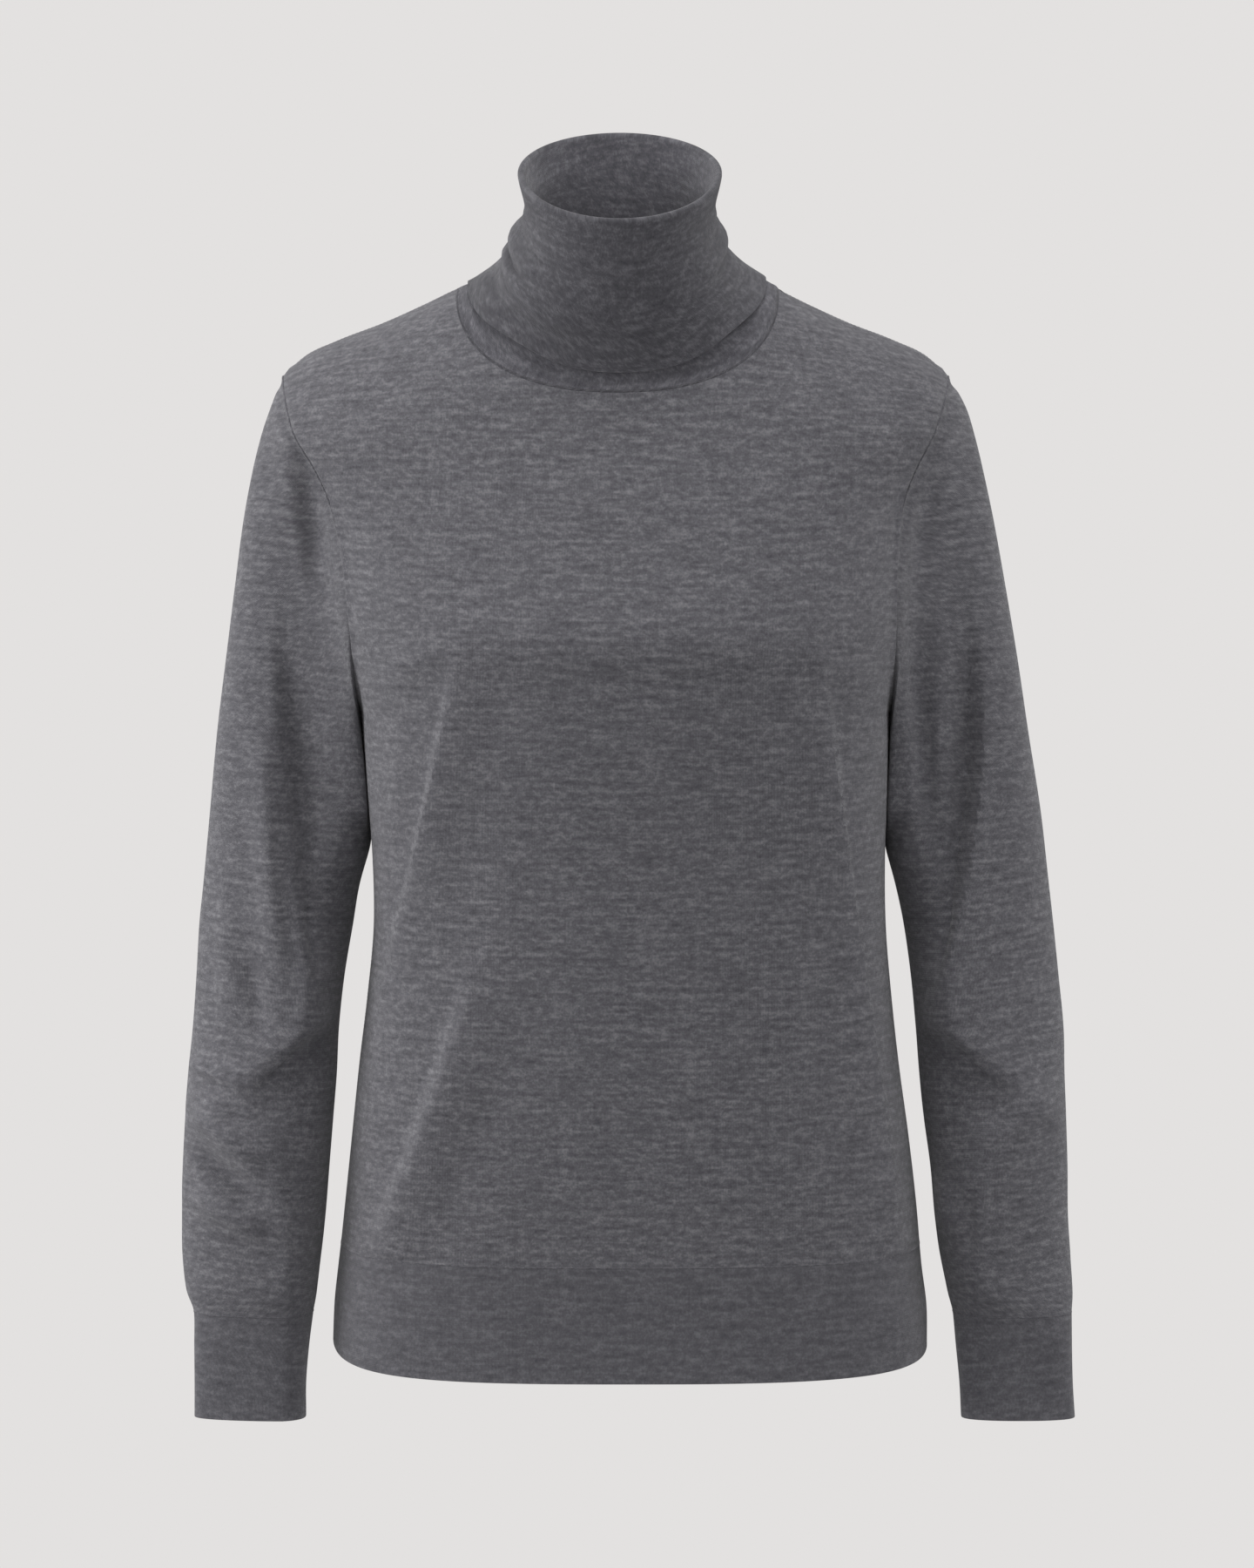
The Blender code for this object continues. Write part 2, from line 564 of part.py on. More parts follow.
def raise_folds(grid, folds, closed):
    """Move the inner points of a grid out or in along its normals where folds pass."""
    normals = surface_normals(grid, closed)
    steps = np.linspace(0.0, 1.0, FOLD_STEPS)[:, None]
    lift = np.zeros(grid.shape[:2])
    for fold in folds:
        start, middle, end = np.array([(fold.x0, fold.z0), (fold.x1, fold.z1), (fold.x2, fold.z2)]) * MM
        path = (1 - steps) ** 2 * start + 2 * steps * (1 - steps) * middle + steps ** 2 * end
        apart = np.linalg.norm(grid[..., None, (0, 2)] - path, axis=-1)
        across = np.clip(apart.min(axis=-1) / (fold.width * MM / 2.0), 0.0, 1.0)
        place = np.clip(steps[apart.argmin(axis=-1), 0], FOLD_END, 1.0 - FOLD_END)
        along = np.sin(math.pi * place) ** FOLD_TAPER
        turned = np.clip(normals[..., 1] * facing(fold.side) * 2.0, 0.0, 1.0)
        lift += fold.height * MM * np.cos(across * math.pi / 2.0) ** 2 * along * turned
    lift[0] = 0.0
    lift[-1] = 0.0
    if not closed:
        lift[:, 0] = 0.0
        lift[:, -1] = 0.0
    return grid + lift[..., None] * normals


def make_material(name, colour):
    """A plain knitted wool."""
    material = bpy.data.materials.new(name)
    material.use_nodes = True
    shader = material.node_tree.nodes["Principled BSDF"]
    shader.inputs["Base Color"].default_value = (*colour, 1.0)
    shader.inputs["Roughness"].default_value = 0.95
    shader.inputs["Metallic"].default_value = 0.0
    return material


def make_sheet(name, grid, closed, colour, collection):
    """One piece of cloth: a grid moved to its points, joined to a tube if closed, and given its wall."""
    rows, columns = grid.shape[0] - 1, grid.shape[1] - 1
    sheet = bmesh.new()
    bmesh.ops.create_grid(sheet, x_segments=columns, y_segments=rows, size=1.0)
    for vert in sheet.verts:
        column = round((vert.co.x + 1.0) / 2.0 * columns)
        row = round((vert.co.y + 1.0) / 2.0 * rows)
        vert.co = grid[row, column]
    if closed:
        bmesh.ops.remove_doubles(sheet, verts=sheet.verts, dist=0.001 * MM)
    if not is_outward(grid):
        bmesh.ops.reverse_faces(sheet, faces=sheet.faces)
    mesh = bpy.data.meshes.new(name)
    sheet.to_mesh(mesh)
    sheet.free()
    mesh.shade_smooth()
    mesh.materials.append(make_material(name, colour))
    piece = bpy.data.objects.new(name, mesh)
    collection.objects.link(piece)
    wall = piece.modifiers.new("wall", "SOLIDIFY")
    wall.thickness = WALL
    wall.offset = -1.0
    wall.use_even_offset = True
    return piece


def main():
    """Make the nine pieces of the sweater."""
    for old in list(bpy.data.objects):
        bpy.data.objects.remove(old, do_unlink=True)
    collection = bpy.data.collections.new("turtleneck_sweater")
    bpy.context.scene.collection.children.link(collection)
    for side in ("front", "back"):
        make_sheet(f"body_{side}", panel_grid(side), False, GREY_MELANGE, collection)
        make_sheet(f"hem_{side}", hem_grid(side), False, RIB_GREY, collection)
    for arm in ("right", "left"):
        make_sheet(f"sleeve_{arm}", sleeve_grid(arm), True, GREY_MELANGE, collection)
        make_sheet(f"cuff_{arm}", cuff_grid(arm), True, RIB_GREY, collection)
    make_sheet("collar", collar_grid(), True, RIB_GREY, collection)


main()
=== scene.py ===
"""Looks of the turtleneck sweater: nine pieces of fine melange knit and their linked seams.

The front faces -Y and +Z is up. Right and left are the wearer's own: right is -X and left is +X.
The origin is where the wearer's neck and shoulders hold the sweater up. Every piece is one sheet of
cloth on a grid of points, with a UV map in metres that its knit follows, and Solidify gives it its
wall. The tables are in millimetres.
"""
from __future__ import annotations

import logging
import math
from dataclasses import dataclass
from enum import Enum
from typing import Any, Callable, ClassVar, NamedTuple, Sequence, TypeVar

import bmesh
import bpy
import numpy as np
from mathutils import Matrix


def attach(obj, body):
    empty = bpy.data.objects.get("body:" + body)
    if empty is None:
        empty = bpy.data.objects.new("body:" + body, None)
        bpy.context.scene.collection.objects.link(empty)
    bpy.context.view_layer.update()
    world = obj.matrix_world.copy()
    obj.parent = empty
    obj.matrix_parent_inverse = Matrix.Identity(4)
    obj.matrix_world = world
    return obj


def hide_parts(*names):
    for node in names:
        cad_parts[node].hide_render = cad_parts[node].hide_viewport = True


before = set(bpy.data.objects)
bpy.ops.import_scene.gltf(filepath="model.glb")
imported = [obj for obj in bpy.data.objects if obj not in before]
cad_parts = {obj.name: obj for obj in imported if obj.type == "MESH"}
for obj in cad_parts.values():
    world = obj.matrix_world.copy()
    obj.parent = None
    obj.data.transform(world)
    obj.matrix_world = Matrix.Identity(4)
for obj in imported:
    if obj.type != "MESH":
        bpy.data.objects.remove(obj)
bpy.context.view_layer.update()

LOG = logging.getLogger("turtleneck_sweater")
MM = 0.001
MERGE = 0.001 * MM              # points closer than this are one point
SHORTEST = 1e-12                # a vector shorter than this has no direction
TURN = 2.0 * math.pi
CREASE_POINTS = 33              # along each crease's path
CREASE_END = 0.02               # share of a crease's length, at each end, that stays level
CREASE_TAPER = 0.7              # how a crease rises along its length: 1 is an arch, less is fuller
CREASE_EDGE = 2.0               # how soon a crease fades in from the outline
ROLL_TAPER = 0.8                # how a roll of the collar rises along its length
Points = np.ndarray
Tree = bpy.types.NodeTree
Socket = bpy.types.NodeSocket
Place = tuple[float, float, float]
Colour = tuple[float, float, float, float]
Row = TypeVar("Row")


class Direction(Enum):
    """A direction on the garment. Its value is the sign of its coordinate."""

    @property
    def word(self) -> str:
        """Its name in small letters, as pieces and columns have it."""
        return self.name.lower()


class Side(Direction):
    """The front or the back, with the sign of its Y."""

    FRONT = -1.0
    BACK = 1.0


class Arm(Direction):
    """The wearer's right or left arm, with the sign of its X."""

    RIGHT = -1.0
    LEFT = 1.0


class Slot(Enum):
    """The material slots of the record."""

    FINE = "fine_knit"
    BAND = "band_knit"


class Section(NamedTuple):
    """A level section of the body: half-widths, depths from the middle, and squareness.

    A squareness of 2 is an ellipse, and more is squarer.
    """

    z: float
    right: float
    left: float
    front: float
    back: float
    square: float


class Ridge(NamedTuple):
    """The shoulder seam's height, by the share of the way from the neck's middle to its tip."""

    reach: float
    z: float


class NeckRing(NamedTuple):
    """A ring of the form under the collar: half-widths, and where its sides, front and back lie."""

    share: float
    right: float
    left: float
    side_y: float
    side_z: float
    front_y: float
    front_z: float
    back_y: float
    back_z: float


class SleeveRing(NamedTuple):
    """A ring of a sleeve seen from the front, then its middle's Y, half-depth and squareness."""

    outer_x: float
    outer_z: float
    inner_x: float
    inner_z: float
    mid_y: float
    depth: float
    square: float


class Brow(NamedTuple):
    """Where a sleeve stands furthest forward, and how round it is there: 2 round, 1 an edge."""

    z: float
    x: float
    roundness: float


class Crease(NamedTuple):
    """A fold seen from its own side: a curve that bends through a middle point.

    Below 0 high it is a trough. Its crest is 0 where round and 1 where sharp, and above 0 its flank
    on the left of its path is the wide one.
    """

    side: Side
    x0: float
    z0: float
    x1: float
    z1: float
    x2: float
    z2: float
    width: float
    height: float
    crest: float = 0.0
    lean: float = 0.0

    def lift(self, grid: Points, normals: Points) -> Points:
        """How far it moves the points of a sheet out.

        Args:
            grid: The sheet's points.
            normals: Their outward normals.

        Returns:
            The distance along each normal, in metres.
        """
        steps = np.linspace(0.0, 1.0, CREASE_POINTS)[:, None]
        knots = ((self.x0, self.z0), (self.x1, self.z1), (self.x2, self.z2))
        path = bend_through(steps, *(np.array(knot) * MM for knot in knots))
        seen = grid[..., (0, 2)]
        reach = self.width * MM / 2.0
        low, high = path.min(axis=0) - 2 * reach, path.max(axis=0) + 2 * reach
        near = np.all((seen > low) & (seen < high), axis=-1)
        offset = seen[near][:, None] - path
        apart = np.linalg.norm(offset, axis=-1)
        nearest = apart.argmin(axis=1)
        heading = np.gradient(path, axis=0)[nearest]
        gap = offset[np.arange(len(nearest)), nearest]
        hand = np.sign(heading[:, 0] * gap[:, 1] - heading[:, 1] * gap[:, 0])
        across = clamp(apart.min(axis=1) / (reach * (1.0 + self.lean * hand)))
        shape = (1 - self.crest) * hump(across) + self.crest * (1 - across) ** 2
        along = np.clip(steps[nearest, 0], CREASE_END, 1.0 - CREASE_END)
        facing = clamp(normals[near][:, 1] * self.side.value * CREASE_EDGE)
        lift = np.zeros(grid.shape[:2])
        lift[near] = self.height * MM * shape * np.sin(math.pi * along) ** CREASE_TAPER * facing
        return lift


class Roll(NamedTuple):
    """A soft roll round part of the collar's outer layer, from one angle to another, in degrees.

    Angle 0 is the middle of the front and 90 the wearer's left. It runs from one share of the
    collar's height to another, through a middle share.
    """

    start: float
    end: float
    share0: float
    share1: float
    share2: float
    width: float
    height: float

    def lift(self, shares: Points, degrees: Points) -> Points:
        """How far it moves points of the collar out.

        Args:
            shares: The points' shares of the collar's height.
            degrees: Their angles, which may run a full turn past the roll's.

        Returns:
            The distance out, in metres.
        """
        lift = np.zeros(np.broadcast_shapes(shares.shape, degrees.shape))
        for turn in (0.0, 360.0):
            inside = clamp((degrees - turn - self.start) / (self.end - self.start))
            crest = bend_through(inside, self.share0, self.share1, self.share2)
            across = clamp(np.abs(shares - crest) / self.width)
            lift += self.height * MM * hump(across) * np.sin(inside * math.pi) ** ROLL_TAPER
        return lift


class FlatCut(NamedTuple):
    """The size that a piece was knitted to, in metres, and what it rests on."""

    width: float
    length: float
    area: float
    rests_on: tuple[str, ...]


def table(kind: Callable[..., Row], *rows: Sequence[float]) -> tuple[Row, ...]:
    """A table whose rows have the columns that their kind names."""
    return tuple(kind(*row) for row in rows)


def creases(side: Side, *rows: Sequence[float]) -> tuple[Crease, ...]:
    """A table of creases on one side, whose rows start with their first x."""
    return tuple(Crease(side, *row) for row in rows)


BODY = table(
    Section,
    (-629, 173.2, 176.8, 100, 98, 2.8), (-603, 172.2, 176.4, 99, 98, 2.8),
    (-579, 170.0, 173.6, 99, 98, 2.8), (-540, 165.9, 170.2, 99, 98, 2.8),
    (-499, 161.6, 165.4, 100, 95, 2.7), (-457, 157.2, 159.6, 101, 91, 2.6),
    (-416, 152.2, 155.0, 102, 87, 2.55), (-375, 148.4, 151.6, 104, 83, 2.5),
    (-334, 149.0, 151.0, 105, 83, 2.45), (-292, 152.2, 152.4, 109, 87, 2.4),
    (-250, 155.0, 153.0, 113.6, 92, 2.4), (-230, 156.2, 153.2, 115.4, 95, 2.4),
    (-215, 157.2, 153.4, 116.4, 97, 2.4), (-200, 158.4, 153.6, 115.4, 98, 2.4),
    (-182, 160.2, 153.9, 110.8, 99, 2.4), (-153, 164.0, 155.4, 100.5, 99, 2.4),
    (-125, 171.6, 159.4, 89.5, 96, 2.4), (-105, 181.4, 167.6, 80.5, 92, 2.4),
    (-90, 191.0, 175.8, 74, 87, 2.4), (-72, 196.6, 182.4, 66.5, 80, 2.4),
    (-54.5, 199.5, 186.3, 60, 74, 2.4), (-30, 199.5, 186.3, 53, 70, 2.4),
    (20, 199.5, 186.3, 46, 62, 2.4),
)
SHOULDER = table(
    Ridge,
    (0.00, 20), (0.30, 9), (0.48, -4.5), (0.58, -13.8), (0.70, -24.2), (0.84, -34.6),
    (0.94, -44.0), (1.00, -54.5),
)
NECK = table(
    NeckRing,
    (0.00, 99.0, 88.0, 0, -4.5, -61.5, -63.8, 54, -10),
    (0.10, 95.0, 86.2, -2, -2.6, -60.6, -56.5, 52, -2),
    (0.20, 87.6, 80.6, -4, 0.2, -61.2, -48.5, 49, 7),
    (0.32, 75.8, 67.4, -7, 7, -67.5, -33, 44, 20),
    (0.45, 66.4, 57.0, -11, 16, -73.5, -19, 38, 34),
    (0.60, 62.2, 53.4, -17, 27, -78.0, -4, 31, 48),
    (0.78, 56.6, 48.6, -24, 42, -82.5, 14, 22, 66),
    (1.00, 60.2, 52.0, -32, 61.5, -87.5, 32.5, 15, 84.0),
)
SLEEVE_RIGHT = table(
    SleeveRing,
    (199.9, -54.5, 155.4, -250, 4, 49, 2.1), (208.4, -76, 155.0, -257, 9, 48, 2.3),
    (213.6, -91, 154.6, -263, 13, 46, 2.6), (219.0, -112, 154.2, -270, 15, 44, 2.8),
    (224.6, -141, 153.5, -279, 16, 42, 3.0), (229.8, -178, 152.8, -291, 17, 41, 3.0),
    (235.4, -220, 152.1, -304, 18, 41, 3.0), (240.8, -262, 151.4, -317, 18, 42, 2.9),
    (245.0, -307, 151.2, -330, 15, 43, 2.7), (249.0, -350, 157.6, -354, 11, 44, 2.4),
    (251.6, -376, 161.4, -377, 8, 44.5, 2.3), (253.2, -406, 166.2, -406, 4, 45, 2.2),
    (255.2, -436, 169.4, -436, 0, 45, 2.2), (257.8, -463, 170.6, -463, -4, 44.5, 2.2),
    (259.4, -489, 172.6, -489, -8, 44, 2.2), (260.8, -517, 174.8, -517, -11, 42, 2.2),
    (261.2, -545, 177.0, -545, -14, 39, 2.2), (260.8, -569, 179.6, -569, -17, 36, 2.2),
    (257.8, -587, 182.4, -587, -21, 31, 2.2), (253.6, -600, 183.6, -600, -27, 23, 2.4),
    (253.2, -620, 186.0, -620, -31, 18, 2.4), (253.0, -641, 187.7, -641, -33, 16, 2.4),
    (253.0, -661, 187.7, -661, -35, 15.5, 2.4),
)
SLEEVE_LEFT = table(
    SleeveRing,
    (186.7, -54.5, 153.4, -250, 4, 49, 2.1), (196.8, -72, 153.3, -257, 9, 48, 2.3),
    (202.8, -90, 153.2, -263, 13, 46, 2.6), (208.4, -112, 153.2, -270, 15, 44, 2.8),
    (214.8, -141, 153.1, -279, 16, 42, 3.0), (221.8, -178, 152.9, -291, 17, 41, 3.0),
    (229.2, -220, 152.5, -304, 18, 41, 3.0), (236.0, -264, 152.1, -317, 18, 42, 2.9),
    (243.2, -309, 152.0, -330, 15, 43, 2.7), (247.9, -350, 158.2, -354, 11, 44, 2.4),
    (250.8, -376, 163.0, -377, 8, 44.5, 2.3), (253.8, -406, 167.0, -406, 4, 45, 2.2),
    (256.6, -436, 169.8, -436, 0, 45, 2.2), (257.0, -463, 171.8, -463, -4, 44.5, 2.2),
    (257.8, -489, 174.4, -489, -8, 44, 2.2), (258.6, -517, 178.2, -517, -11, 42, 2.2),
    (258.8, -545, 180.6, -545, -14, 39, 2.2), (260.2, -569, 183.8, -569, -17, 35, 2.2),
    (260.4, -587, 188.2, -587, -21, 30, 2.2), (260.2, -600, 190.6, -600, -28, 21, 2.4),
    (260.2, -620, 192.4, -620, -32, 16, 2.6), (260.7, -641, 194.4, -641, -34, 14, 2.6),
    (261.9, -661, 195.4, -661, -36, 13.5, 2.6),
)
BROW_RIGHT = table(
    Brow,
    (-665, 202, 1.7), (-600, 200, 1.8), (-586, 200, 1.8), (-560, 197, 1.5), (-530, 200, 1.4),
    (-505, 205, 1.4), (-488, 212, 1.4), (-474, 220, 1.4), (-462, 212, 1.4), (-450, 198, 1.4),
    (-436, 190, 1.4), (-409, 186, 1.4), (-364, 187, 1.5), (-320, 179, 1.8), (-283, 171, 2.2),
    (-245, 169, 2.2), (-205, 171, 2.2), (-160, 175, 2.2), (-110, 179, 2.2), (-55, 180, 2.2),
)
BROW_LEFT = table(
    Brow,
    (-665, 229, 2.2), (-600, 226, 2.2), (-586, 212, 1.8), (-560, 205, 1.5), (-530, 204, 1.4),
    (-508, 210, 1.4), (-492, 219, 1.4), (-478, 228, 1.4), (-466, 219, 1.4), (-452, 202, 1.4),
    (-437, 191, 1.4), (-409, 187, 1.4), (-364, 189, 1.5), (-315, 190, 1.7), (-283, 187, 1.8),
    (-245, 186, 1.9), (-205, 181, 2.0), (-160, 173, 2.2), (-110, 174, 2.2), (-55, 172, 2.2),
)
# Columns: start x z, middle x z, end x z, width, height, crest, lean
FRONT_CREASES = creases(
    Side.FRONT,
    (-97, -212, -108, -298, -147, -430, 42, 7.0, 0.6, 0.68),
    (-116, -245, -124, -330, -152, -425, 26, -2.0),
    (-86, -392, -108, -476, -147, -566, 46, 7.0, 0.2, 0.5),
    (111, -216, 117, -314, 160, -558, 38, 7.6, 0.5, -0.66),
    (-128, -212, 0, -202, 128, -210, 66, 3.0, 0.0, 0.35),
    (-150, -242, -128, -214, -96, -202, 30, 1.6),
    (148, -246, 128, -220, 98, -208, 30, 1.4),
)
BACK_CREASES = creases(
    Side.BACK,
    (-96, -200, -84, -330, -104, -520, 40, 3.4),
    (88, -215, 82, -340, 112, -535, 44, 3.2),
    (-30, -330, 6, -380, 44, -410, 42, -3.0),
    (40, -300, 8, -345, -26, -372, 36, -2.4),
    (-150, -236, -128, -214, -104, -150, 30, 2.0),
    (150, -240, 126, -216, 100, -156, 32, 1.8),
    (-60, -420, -20, -452, 30, -462, 36, 1.6),
    (120, -260, 128, -350, 154, -470, 26, -1.8),
    (-122, -255, -124, -345, -148, -460, 26, -1.8),
)
RIGHT_SLEEVE_CREASES = creases(
    Side.FRONT,
    (-191, -90, -185, -128, -179, -176, 28, -7.0, 0.0, 0.3),
    (-200, -208, -194, -310, -178, -405, 44, -11.0, 0.2, 0.6),
    (-212, -262, -208, -330, -199, -414, 26, 6.2, 0.4, -0.3),
    (-221, -392, -217, -412, -212, -438, 18, -4.0),
    (-236, -356, -232, -390, -232, -436, 22, 2.6, 0.2),
    (-158, -434, -192, -446, -226, -476, 40, -7.0, 0.0, 0.4),
    (-256, -457, -240, -460, -220, -465, 13, 3.6, 0.5, 0.3),
    (-252, -479, -235, -492, -208, -512, 30, 7.6, 0.1),
    (-254, -504, -236, -516, -212, -530, 18, -5.0),
    (-254, -527, -234, -541, -208, -549, 30, 7.2, 0.1),
) + creases(
    Side.BACK,
    (-196, -170, -206, -300, -198, -420, 40, -4.5),
    (-182, -470, -210, -482, -244, -470, 30, 3.5),
)
LEFT_SLEEVE_CREASES = creases(
    Side.FRONT,
    (182, -92, 174, -130, 168, -178, 20, -3.0, 0.0, -0.3),
    (200, -204, 208, -300, 176, -408, 42, -13.0, 0.2, -0.65),
    (168, -180, 171, -260, 177, -336, 22, -5.5),
    (184, -190, 186, -250, 180, -310, 16, 1.5),
    (168, -436, 202, -450, 236, -480, 42, -6.8, 0.0, -0.55),
    (180, -520, 184, -536, 190, -556, 22, 4.0),
    (198, -528, 200, -545, 198, -566, 14, -3.0),
) + creases(
    Side.BACK,
    (190, -175, 204, -300, 196, -425, 40, -4.5),
    (180, -476, 208, -488, 240, -474, 30, 3.5),
)
COLLAR_ROLLS = table(
    Roll,
    (-135, -40, 0.56, 0.58, 0.52, 0.08, 3.4), (-125, -30, 0.70, 0.68, 0.62, 0.06, -1.4),
    (-130, -48, 0.43, 0.44, 0.40, 0.06, 3.2), (-105, -8, 0.33, 0.30, 0.27, 0.09, -4.0),
    (50, 130, 0.54, 0.56, 0.56, 0.07, 2.0), (60, 120, 0.68, 0.68, 0.68, 0.06, -1.2),
    (55, 115, 0.44, 0.46, 0.46, 0.05, -1.2), (20, 96, 0.27, 0.30, 0.36, 0.07, -1.2),
    (150, 212, 0.46, 0.42, 0.47, 0.12, 1.6),
)


class Profile:
    """A table of named columns, read as smooth curves between its rows."""

    def __init__(self, rows: Sequence[NamedTuple], key: str | None = None) -> None:
        """Keep the rows.

        Args:
            rows: The table, in rising order of its key.
            key: The column that the others are read by, or None for the row's own number.
        """
        self.rows = rows
        self.keys = np.arange(len(rows), dtype=float) if key is None else self._column(key)

    def _column(self, name: str) -> Points:
        """One column's values, in row order."""
        return np.array([getattr(row, name) for row in self.rows], float)

    def read(self, name: str, at: Points) -> Points:
        """Read a column, with each row's slope taken from its neighbours.

        Args:
            name: The column.
            at: Values of the key.

        Returns:
            The column's values there.
        """
        keys, values = self.keys, self._column(name)
        at = np.asarray(at, float)
        slopes = np.gradient(values, keys)
        place = np.clip(np.searchsorted(keys, at, side="right") - 1, 0, len(keys) - 2)
        span = keys[place + 1] - keys[place]
        share = clamp((at - keys[place]) / span)
        pull = share * (1.0 - share) * ((1.0 - share) * slopes[place] - share * slopes[place + 1])
        return values[place] + ease(share) * (values[place + 1] - values[place]) + span * pull


def clamp(values: Points) -> Points:
    """Values kept between 0 and 1."""
    return np.clip(values, 0.0, 1.0)


def ease(share: Points) -> Points:
    """A share that starts and ends gently."""
    return share * share * (3.0 - 2.0 * share)


def hump(share: Points) -> Points:
    """Height of a round hump, 1 at its crest, share 0, and 0 at its foot, share 1."""
    return np.cos(share * math.pi / 2.0) ** 2


def swell(share: Points, late: float) -> Points:
    """Height of a swell from share 0 to 1, which peaks halfway where late is 1 and sooner below."""
    return np.sin(math.pi * share ** late) ** 2


def arch(across: Points, square: Points | float) -> Points:
    """Height of an arch, 1 in its middle and 0 at share 1. Square 2 is round, more is squarer."""
    return clamp(1.0 - across ** square) ** (1.0 / square)


def bend_through(share: Points, start: Any, middle: Any, end: Any) -> Points:
    """A curve from start to end that bends towards a middle."""
    return (1 - share) ** 2 * start + 2 * share * (1 - share) * middle + share ** 2 * end


def signed_power(base: Points, exponent: Points | float) -> Points:
    """Raise to a power, keeping the sign."""
    return np.sign(base) * np.abs(base) ** exponent


def grid_of(x: Points, y: Points | float, z: Points) -> Points:
    """Join arrays of coordinates into one array of points."""
    return np.stack(np.broadcast_arrays(x, y, z), axis=-1)


def resample(at: Points, places: Points, values: Points) -> Points:
    """Points at new places along a line of points."""
    return np.stack([np.interp(at, places, values[:, axis]) for axis in range(3)], axis=-1)


def unit(vectors: Points) -> Points:
    """Vectors of length one."""
    return vectors / np.maximum(np.linalg.norm(vectors, axis=-1, keepdims=True), SHORTEST)


def wrapped_slope(grid: Points) -> Points:
    """Direction along the rows of a closed grid, whose last column repeats its first."""
    inner = np.concatenate([grid[:, -2:-1], grid, grid[:, 1:2]], axis=1)
    return inner[:, 2:] - inner[:, :-2]


def is_outward(grid: Points) -> bool:
    """Tell which way the faces of a grid of points look.

    Args:
        grid: Rows and columns of points.

    Returns:
        Whether they look out of the garment.
    """
    row = grid[1]
    place = len(row) // 2
    along = row[place + 1] - row[place - 1]
    up = grid[2, place] - grid[0, place]
    return float(np.dot(np.cross(along, up), row[place] - row.mean(axis=0))) > 0.0


def surface_normals(grid: Points, closed: bool) -> Points:
    """Work out the normals of a grid of points.

    Args:
        grid: Rows and columns of points.
        closed: Whether the last column repeats the first.

    Returns:
        The normals, which point out of the garment.
    """
    along = wrapped_slope(grid) if closed else np.gradient(grid, axis=1)
    normals = unit(np.cross(along, np.gradient(grid, axis=0)))
    return normals if is_outward(grid) else -normals


def run_length(grid: Points, axis: int) -> Points:
    """Measure along the rows or columns of a grid of points.

    Args:
        grid: Rows and columns of points.
        axis: 1 to measure along the rows, 0 along the columns.

    Returns:
        Each point's distance from the first, in metres.
    """
    steps = np.linalg.norm(np.diff(grid, axis=axis), axis=-1)
    start = np.zeros_like(np.take(steps, [0], axis=axis))
    return np.concatenate([start, np.cumsum(steps, axis=axis)], axis=axis)


def cloth_mesh(name: str, grid: Points, knit: Points, closed: bool) -> bpy.types.Mesh:
    """Make a mesh of a grid of points, with the knit's UV map.

    Args:
        name: The mesh's name.
        grid: Rows and columns of points.
        knit: Where each point lies on the knit, in metres.
        closed: Whether the last column repeats the first, as round a tube.

    Returns:
        The mesh, whose faces look out of the garment.
    """
    rows, columns = grid.shape[0] - 1, grid.shape[1] - 1
    cloth = bmesh.new()
    bmesh.ops.create_grid(cloth, x_segments=columns, y_segments=rows, size=1.0)
    uv = cloth.loops.layers.uv.new("knit")
    places = {v: (round((v.co.y + 1.0) / 2.0 * rows), round((v.co.x + 1.0) / 2.0 * columns))
              for v in cloth.verts}
    for face in cloth.faces:
        for loop in face.loops:
            loop[uv].uv = knit[places[loop.vert]]
    for vert, place in places.items():
        vert.co = grid[place]
    if closed:
        bmesh.ops.remove_doubles(cloth, verts=cloth.verts, dist=MERGE)
    if not is_outward(grid):
        bmesh.ops.reverse_faces(cloth, faces=cloth.faces)
    mesh = bpy.data.meshes.new(name)
    cloth.to_mesh(mesh)
    cloth.free()
    mesh.shade_smooth()
    return mesh


def add_object(name: str, data: Any) -> bpy.types.Object:
    """Put a mesh, a lamp or a camera into the scene.

    Args:
        name: The object's name.
        data: Its mesh, lamp or camera.

    Returns:
        The object.
    """
    item = bpy.data.objects.new(name, data)
    bpy.context.scene.collection.objects.link(item)
    return item


def linear(hex_colour: str) -> Colour:
    """Turn an sRGB hex colour into the linear colour that shaders take.

    Args:
        hex_colour: The colour, such as "#e3e1e0".

    Returns:
        Linear red, green and blue, and an alpha of 1.
    """
    channels = (int(hex_colour[i:i + 2], 16) / 255.0 for i in (1, 3, 5))
    red, green, blue = (c / 12.92 if c <= 0.04045 else ((c + 0.055) / 1.055) ** 2.4
                        for c in channels)
    return red, green, blue, 1.0


def add_node(tree: Tree, kind: str, inputs: dict[str | int, Any],
             **settings: Any) -> bpy.types.Node:
    """Add a node with its settings, its values and its links.

    Args:
        tree: The node tree.
        kind: The node's type.
        inputs: By socket, a value, or another node's output to link.
        settings: Properties of the node itself.

    Returns:
        The new node.
    """
    node = tree.nodes.new(kind)
    for name, value in settings.items():
        setattr(node, name, value)
    for key, value in inputs.items():
        if isinstance(value, Socket):
            tree.links.new(value, node.inputs[key])
        else:
            node.inputs[key].default_value = value
    return node


